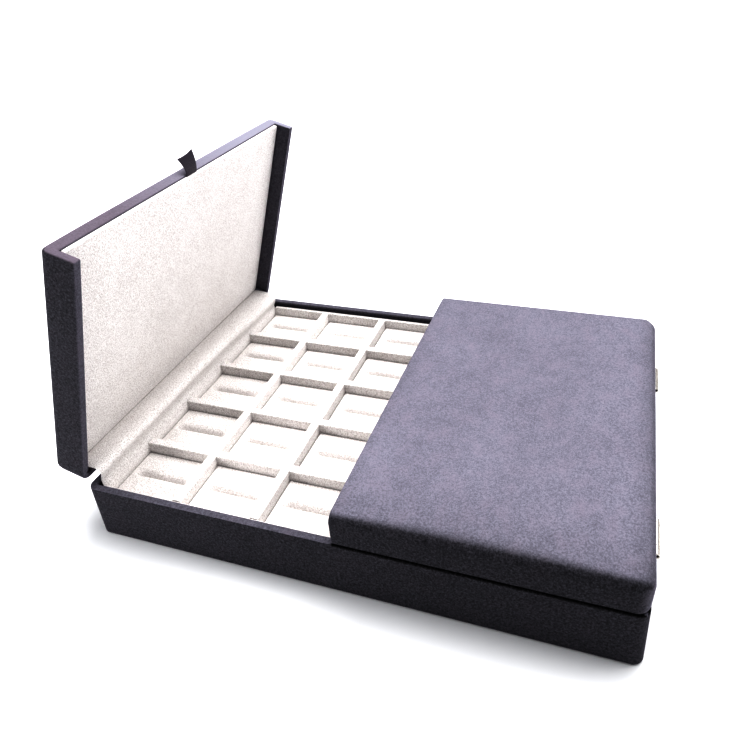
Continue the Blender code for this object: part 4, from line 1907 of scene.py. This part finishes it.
# The covers' sections as distance in from the case's end and height, in tenths of a millimetre.
# The left cover's are at its front, its middle and its back, and the right cover has one.
PER_METRE = 10000
SLOT_FOOT = ((88, 80), (89, 270), (93, 294))
OPEN_SECTIONS = (
    (
        *((90, 325), (83, 358), (76, 388), (75, 412), (83, 446), (93, 481), (76, 509), (41, 519)),
        *((5, 520), (-45, 516), (-92, 511), (-102, 512), (-120, 517)),
    ),
    (
        *((91, 325), (84, 358), (77, 386), (77, 412), (90, 449), (103, 482), (84, 511), (43, 522)),
        *((5, 522), (-45, 517), (-92, 511), (-102, 512), (-120, 517)),
    ),
    (
        *((90, 322), (84, 346), (81, 366), (90, 388), (101, 415), (101, 446), (81, 472), (45, 492)),
        *((0, 506), (-48, 511), (-92, 510), (-102, 511), (-120, 516)),
    ),
)
SHUT_SECTIONS = (
    (
        *((88, 335), (81, 375), (84, 403), (112, 420), (154, 432), (183, 448), (184, 470), (158, 484)),
        *((115, 480), (74, 478), (50, 492), (44, 512), (43, 531)),
    ),
) * 2


@dataclass
class HingeCover:
    """The loose padded cloth that hides one end's hinges, from the tray up to the lid's pad."""

    side: Side
    sections: Sequence[Sequence[Corner]]
    thick: float = 0.0009
    narrower: float = 0.0013
    across: int = 56
    down: int = 44
    fine: int = 24
    loose_from: float = 0.40
    loose_run: float = 0.52
    ripples: Sequence[Corner] = ((24, 2.2, 0.0013), (90, 6, 0.00035))
    ripple_way: Corner = (0.8, 0.6)
    base_share: float = 0.47
    lid_share: float = 0.93

    def build(self) -> None:
        """Sweeps the cloth between its sections."""
        low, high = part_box(f"hinge_cover_{self.side.label}")
        low.y, high.y = low.y + self.narrower, high.y - self.narrower
        self.start, self.stop = low.y, high.y
        self.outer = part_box("base_case")[1].x
        self.curves = [self._even(points) for points in self.sections]
        cloth = Piece.sheet(f"cover_{self.side.label}", self.across, self.down, self._spot)
        with cloth.editing():
            bpy.ops.mesh.select_all(action="SELECT")
            bpy.ops.mesh.normals_make_consistent(inside=False)
        self._face_cells(cloth)
        cloth.modify("SOLIDIFY", thickness=self.thick, offset=-1.0, use_even_offset=True)
        cloth.modify("SUBSURF", levels=1, render_levels=1)
        cloth.dress(CREAM, None, f"hinge_cover_{self.side.label}", angle=60.0)
        line = self.curves[len(self.curves) // 2]
        shares = self.base_share, self.lid_share
        start, end = (self._at(line[round(self.down * share)]) for share in shares)
        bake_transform(cloth.obj)
        length = sum((b - a).length for a, b in zip(self.curves[0], self.curves[0][1:]))

    def _face_cells(self, cloth: Piece) -> None:
        """Turns the sheet so that its front looks up and in to the cells.

        Args:
            cloth: the sheet, still one layer.
        """
        mesh = cloth.obj.data
        way = Vector((-self.side.value, 0, 1))
        if sum(face.normal.dot(way) * face.area for face in mesh.polygons) < 0:
            mesh.flip_normals()

    def _even(self, points: Sequence[Corner]) -> list[Vector]:
        """Evenly spaced points of a smooth line through a section's points.

        Args:
            points: the section, without its foot in the tray's slot.

        Returns:
            One more point than there are faces down the sheet.
        """
        spots = [Vector((inward, height)) / PER_METRE for inward, height in (*SLOT_FOOT, *points)]
        ends = [spots[0] * 2 - spots[1], *spots, spots[-1] * 2 - spots[-2]]
        dense = []
        for before, a, b, after in zip(ends, ends[1:], ends[2:], ends[3:]):
            for t in (index / self.fine for index in range(self.fine)):
                slope = (b - before) * t
                bend = (2 * before - 5 * a + 4 * b - after) * t**2
                swerve = (3 * a - before - 3 * b + after) * t**3
                dense.append(0.5 * (2 * a + slope + bend + swerve))
        dense.append(spots[-1])
        travelled = [0.0]
        for a, b in zip(dense, dense[1:]):
            travelled.append(travelled[-1] + (b - a).length)
        even, place = [], 0
        for index in range(self.down + 1):
            target = travelled[-1] * index / self.down
            while place < len(dense) - 2 and travelled[place + 1] < target:
                place += 1
            span = max(travelled[place + 1] - travelled[place], 1e-9)
            even.append(dense[place].lerp(dense[place + 1], (target - travelled[place]) / span))
        return even

    def _at(self, point: Vector, y: float = 0.0) -> Vector:
        """A section's point in the case's frame, at a place along Y."""
        return Vector((self.side.value * (self.outer - point.x), y, point.y))

    def _spot(self, along_y: float, along_line: float) -> Vector:
        """A point of the cloth.

        Args:
            along_y: its share of the way from front to back.
            along_line: its share of the way from the tray to the lid.

        Returns:
            The point.
        """
        index = round(along_line * self.down)
        place = along_y * (len(self.curves) - 1)
        first = min(int(place), len(self.curves) - 2)
        point = self.curves[first][index].lerp(self.curves[first + 1][index], ease(place - first))
        y = self.start + (self.stop - self.start) * along_y
        loose = math.sin(math.pi * clamp((along_line - self.loose_from) / self.loose_run))
        ripple = sum(
            noise.noise(Vector((y * fine, along_line * turns, self.side.value))) * height
            for fine, turns, height in self.ripples
        )
        return self._at(point + Vector(self.ripple_way) * ripple * loose, y)


@dataclass
class RibbonPull:
    """The satin tab at the middle of the left lid's free edge."""

    width: float = 0.0120
    thick: float = 0.0004
    tuck: float = 0.0100
    reach: float = 0.0115
    lean: float = 0.0052
    lean_power: float = 1.7
    curl: float = 0.0011
    waist: float = 0.06
    flare: float = 0.34
    flare_power: float = 1.6
    slant: float = 0.0011

    def build(self) -> None:
        """Models the tab in the lid's frame and puts it in its place."""
        place, shut = LidFrame.of(Side.LEFT), LidFrame.of(Side.RIGHT)
        self.edge = shut.local("lid_right")[1].x
        self.height = shut.local("lid_pad_right")[1].z - self.thick / 2
        tab = Piece.sheet("ribbon", 14, 40, self._spot)
        self._map(tab)
        tab.modify("SOLIDIFY", thickness=self.thick, offset=0.0)
        tab.modify("SUBSURF", levels=1, render_levels=1)
        tab.move(place.matrix)
        tab.dress(SATIN, Body.LEFT_LID, "ribbon_pull", angle=60.0)
        direction = place.matrix.to_3x3() @ Vector((1, 0, 0))
        anchor = place.matrix @ Vector((self.edge, 0, self.height))
        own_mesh(tab.obj)

    def _spot(self, across: float, out: float) -> Vector:
        """A point of the tab: flat in its pocket, then over the edge and up.

        Args:
            across: its share of the width.
            out: its share of the length.

        Returns:
            The point in the lid's frame.
        """
        x = out * (self.tuck + self.reach) - self.tuck
        share = max(0.0, x / self.reach)
        side = 2 * across - 1
        z = self.lean * share**self.lean_power + self.curl * side * side * share**2
        width = 1 - self.waist * share * (1 - share) + self.flare * share**self.flare_power
        x += self.edge + self.slant * side * share
        return Vector((x, side * self.width / 2 * width, self.height + z))

    def _map(self, tab: Piece) -> None:
        """Maps the tab in metres, across and along.

        Args:
            tab: the tab, still one layer in the lid's frame.
        """
        mesh = tab.obj.data
        cloth = mesh.uv_layers.new(name="cloth")
        for loop in mesh.loops:
            spot = mesh.vertices[loop.vertex_index].co
            cloth.data[loop.index].uv = (spot.y, spot.x)


@dataclass
class Studio:
    """The floor, the light and the camera.

    A lamp is its name, its power in watts, its diameter and its place.
    """

    picture_side: int = 750
    principal_px: Corner = (400.23, 275.75)
    focal_px: float = 674.64
    eye: Corner = (0.13917, -0.35978, 0.34889)
    aim_deg: Corner = (62.189, 3.623, 18.143)
    sensor_mm: float = 36.0
    clip: Corner = (0.01, 40.0)
    floor_half: float = 2.0
    floor_faces: int = 12
    lamps: Sequence[tuple[str, float, float, Corner]] = (
        ("overhead_light", 180.0, 4.8, (0.30, 1.60, 5.0)),
        ("side_light", 8.4, 1.4, (1.90, 0.42, 0.85)),
        ("front_fill", 0.55, 0.2, (-0.38, -0.42, 0.16)),
    )
    surround: float = 0.29
    surround_tint: Corner = (0.97, 0.98, 1.0, 1.0)
    backdrop: float = 1.6
    exposure: float = 1.15
    contrast: float = 2.1

    def build(self) -> None:
        """Sets up the floor, the lights and the camera."""
        self._floor()
        self._sky()
        for lamp in self.lamps:
            self._softbox(*lamp)
        self._camera()
        view = bpy.context.scene.view_settings
        view.view_transform = "Standard"
        view.exposure = self.exposure
        view.gamma = 1 / self.contrast

    def _floor(self) -> None:
        """A wide pale floor, level with the case's underside."""
        floor = Piece.sheet("floor", self.floor_faces, self.floor_faces, self._floor_spot)
        with floor.active() as obj:
            obj.data.materials.append(Paper().material())
            bpy.ops.object.shade_smooth_by_angle(angle=SHARP_ANGLE)

    def _floor_spot(self, x: float, y: float) -> Vector:
        """A point of the floor, by its shares of both sides."""
        return Vector(((2 * x - 1) * self.floor_half, (2 * y - 1) * self.floor_half, 0.0))

    def _sky(self) -> None:
        """An even pale surround, white where the camera sees it."""
        world = bpy.data.worlds.new("surround")
        bpy.context.scene.world = world
        sky = Recipe(world)
        shown = sky.add("ShaderNodeBackground", sockets={"Strength": self.backdrop})
        tint = {"Color": self.surround_tint, "Strength": self.surround}
        soft = sky.add("ShaderNodeBackground", sockets=tint)
        seen = sky.add("ShaderNodeLightPath", out="Is Camera Ray")
        mix = sky.add("ShaderNodeMixShader", sockets={"Fac": seen, 1: soft, 2: shown})
        sky.add("ShaderNodeOutputWorld", sockets={"Surface": mix})

    def _softbox(self, name: str, power: float, across: float, place: Corner) -> None:
        """A round diffused lamp that faces the case.

        Args:
            name: its name.
            power: its power in watts.
            across: its diameter.
            place: where it hangs.
        """
        lamp = bpy.data.lights.new(name, "AREA")
        lamp.shape = "DISK"
        lamp.energy, lamp.size = power, across
        obj = bpy.data.objects.new(name, lamp)
        obj.location = place
        obj.rotation_euler = Vector(place).to_track_quat("Z", "Y").to_euler()
        bpy.context.scene.collection.objects.link(obj)

    def _camera(self) -> None:
        """The camera at the photograph's place, with its off-centre framing."""
        side = self.picture_side
        data = bpy.data.cameras.new("camera")
        data.sensor_width = self.sensor_mm
        data.lens = self.focal_px / side * self.sensor_mm
        data.shift_x = (side / 2 - self.principal_px[0]) / side
        data.shift_y = (self.principal_px[1] - side / 2) / side
        data.clip_start, data.clip_end = self.clip
        camera = bpy.data.objects.new("camera", data)
        camera.location = self.eye
        camera.rotation_euler = tuple(math.radians(angle) for angle in self.aim_deg)
        bpy.context.scene.collection.objects.link(camera)
        bpy.context.scene.camera = camera


def main() -> None:
    """Builds the case, one sub-assembly after another."""
    logging.basicConfig(level=logging.INFO, format="%(name)s: %(message)s")
    Studio().build()
    BaseCase().build()
    Tray().build()
    RingPads().build()
    HingeSet().build()
    for side in Side:
        Lid(side).build()
    HingeCover(Side.LEFT, OPEN_SECTIONS).build()
    HingeCover(Side.RIGHT, SHUT_SECTIONS).build()
    RibbonPull().build()


if __name__ == "__main__":
    main()
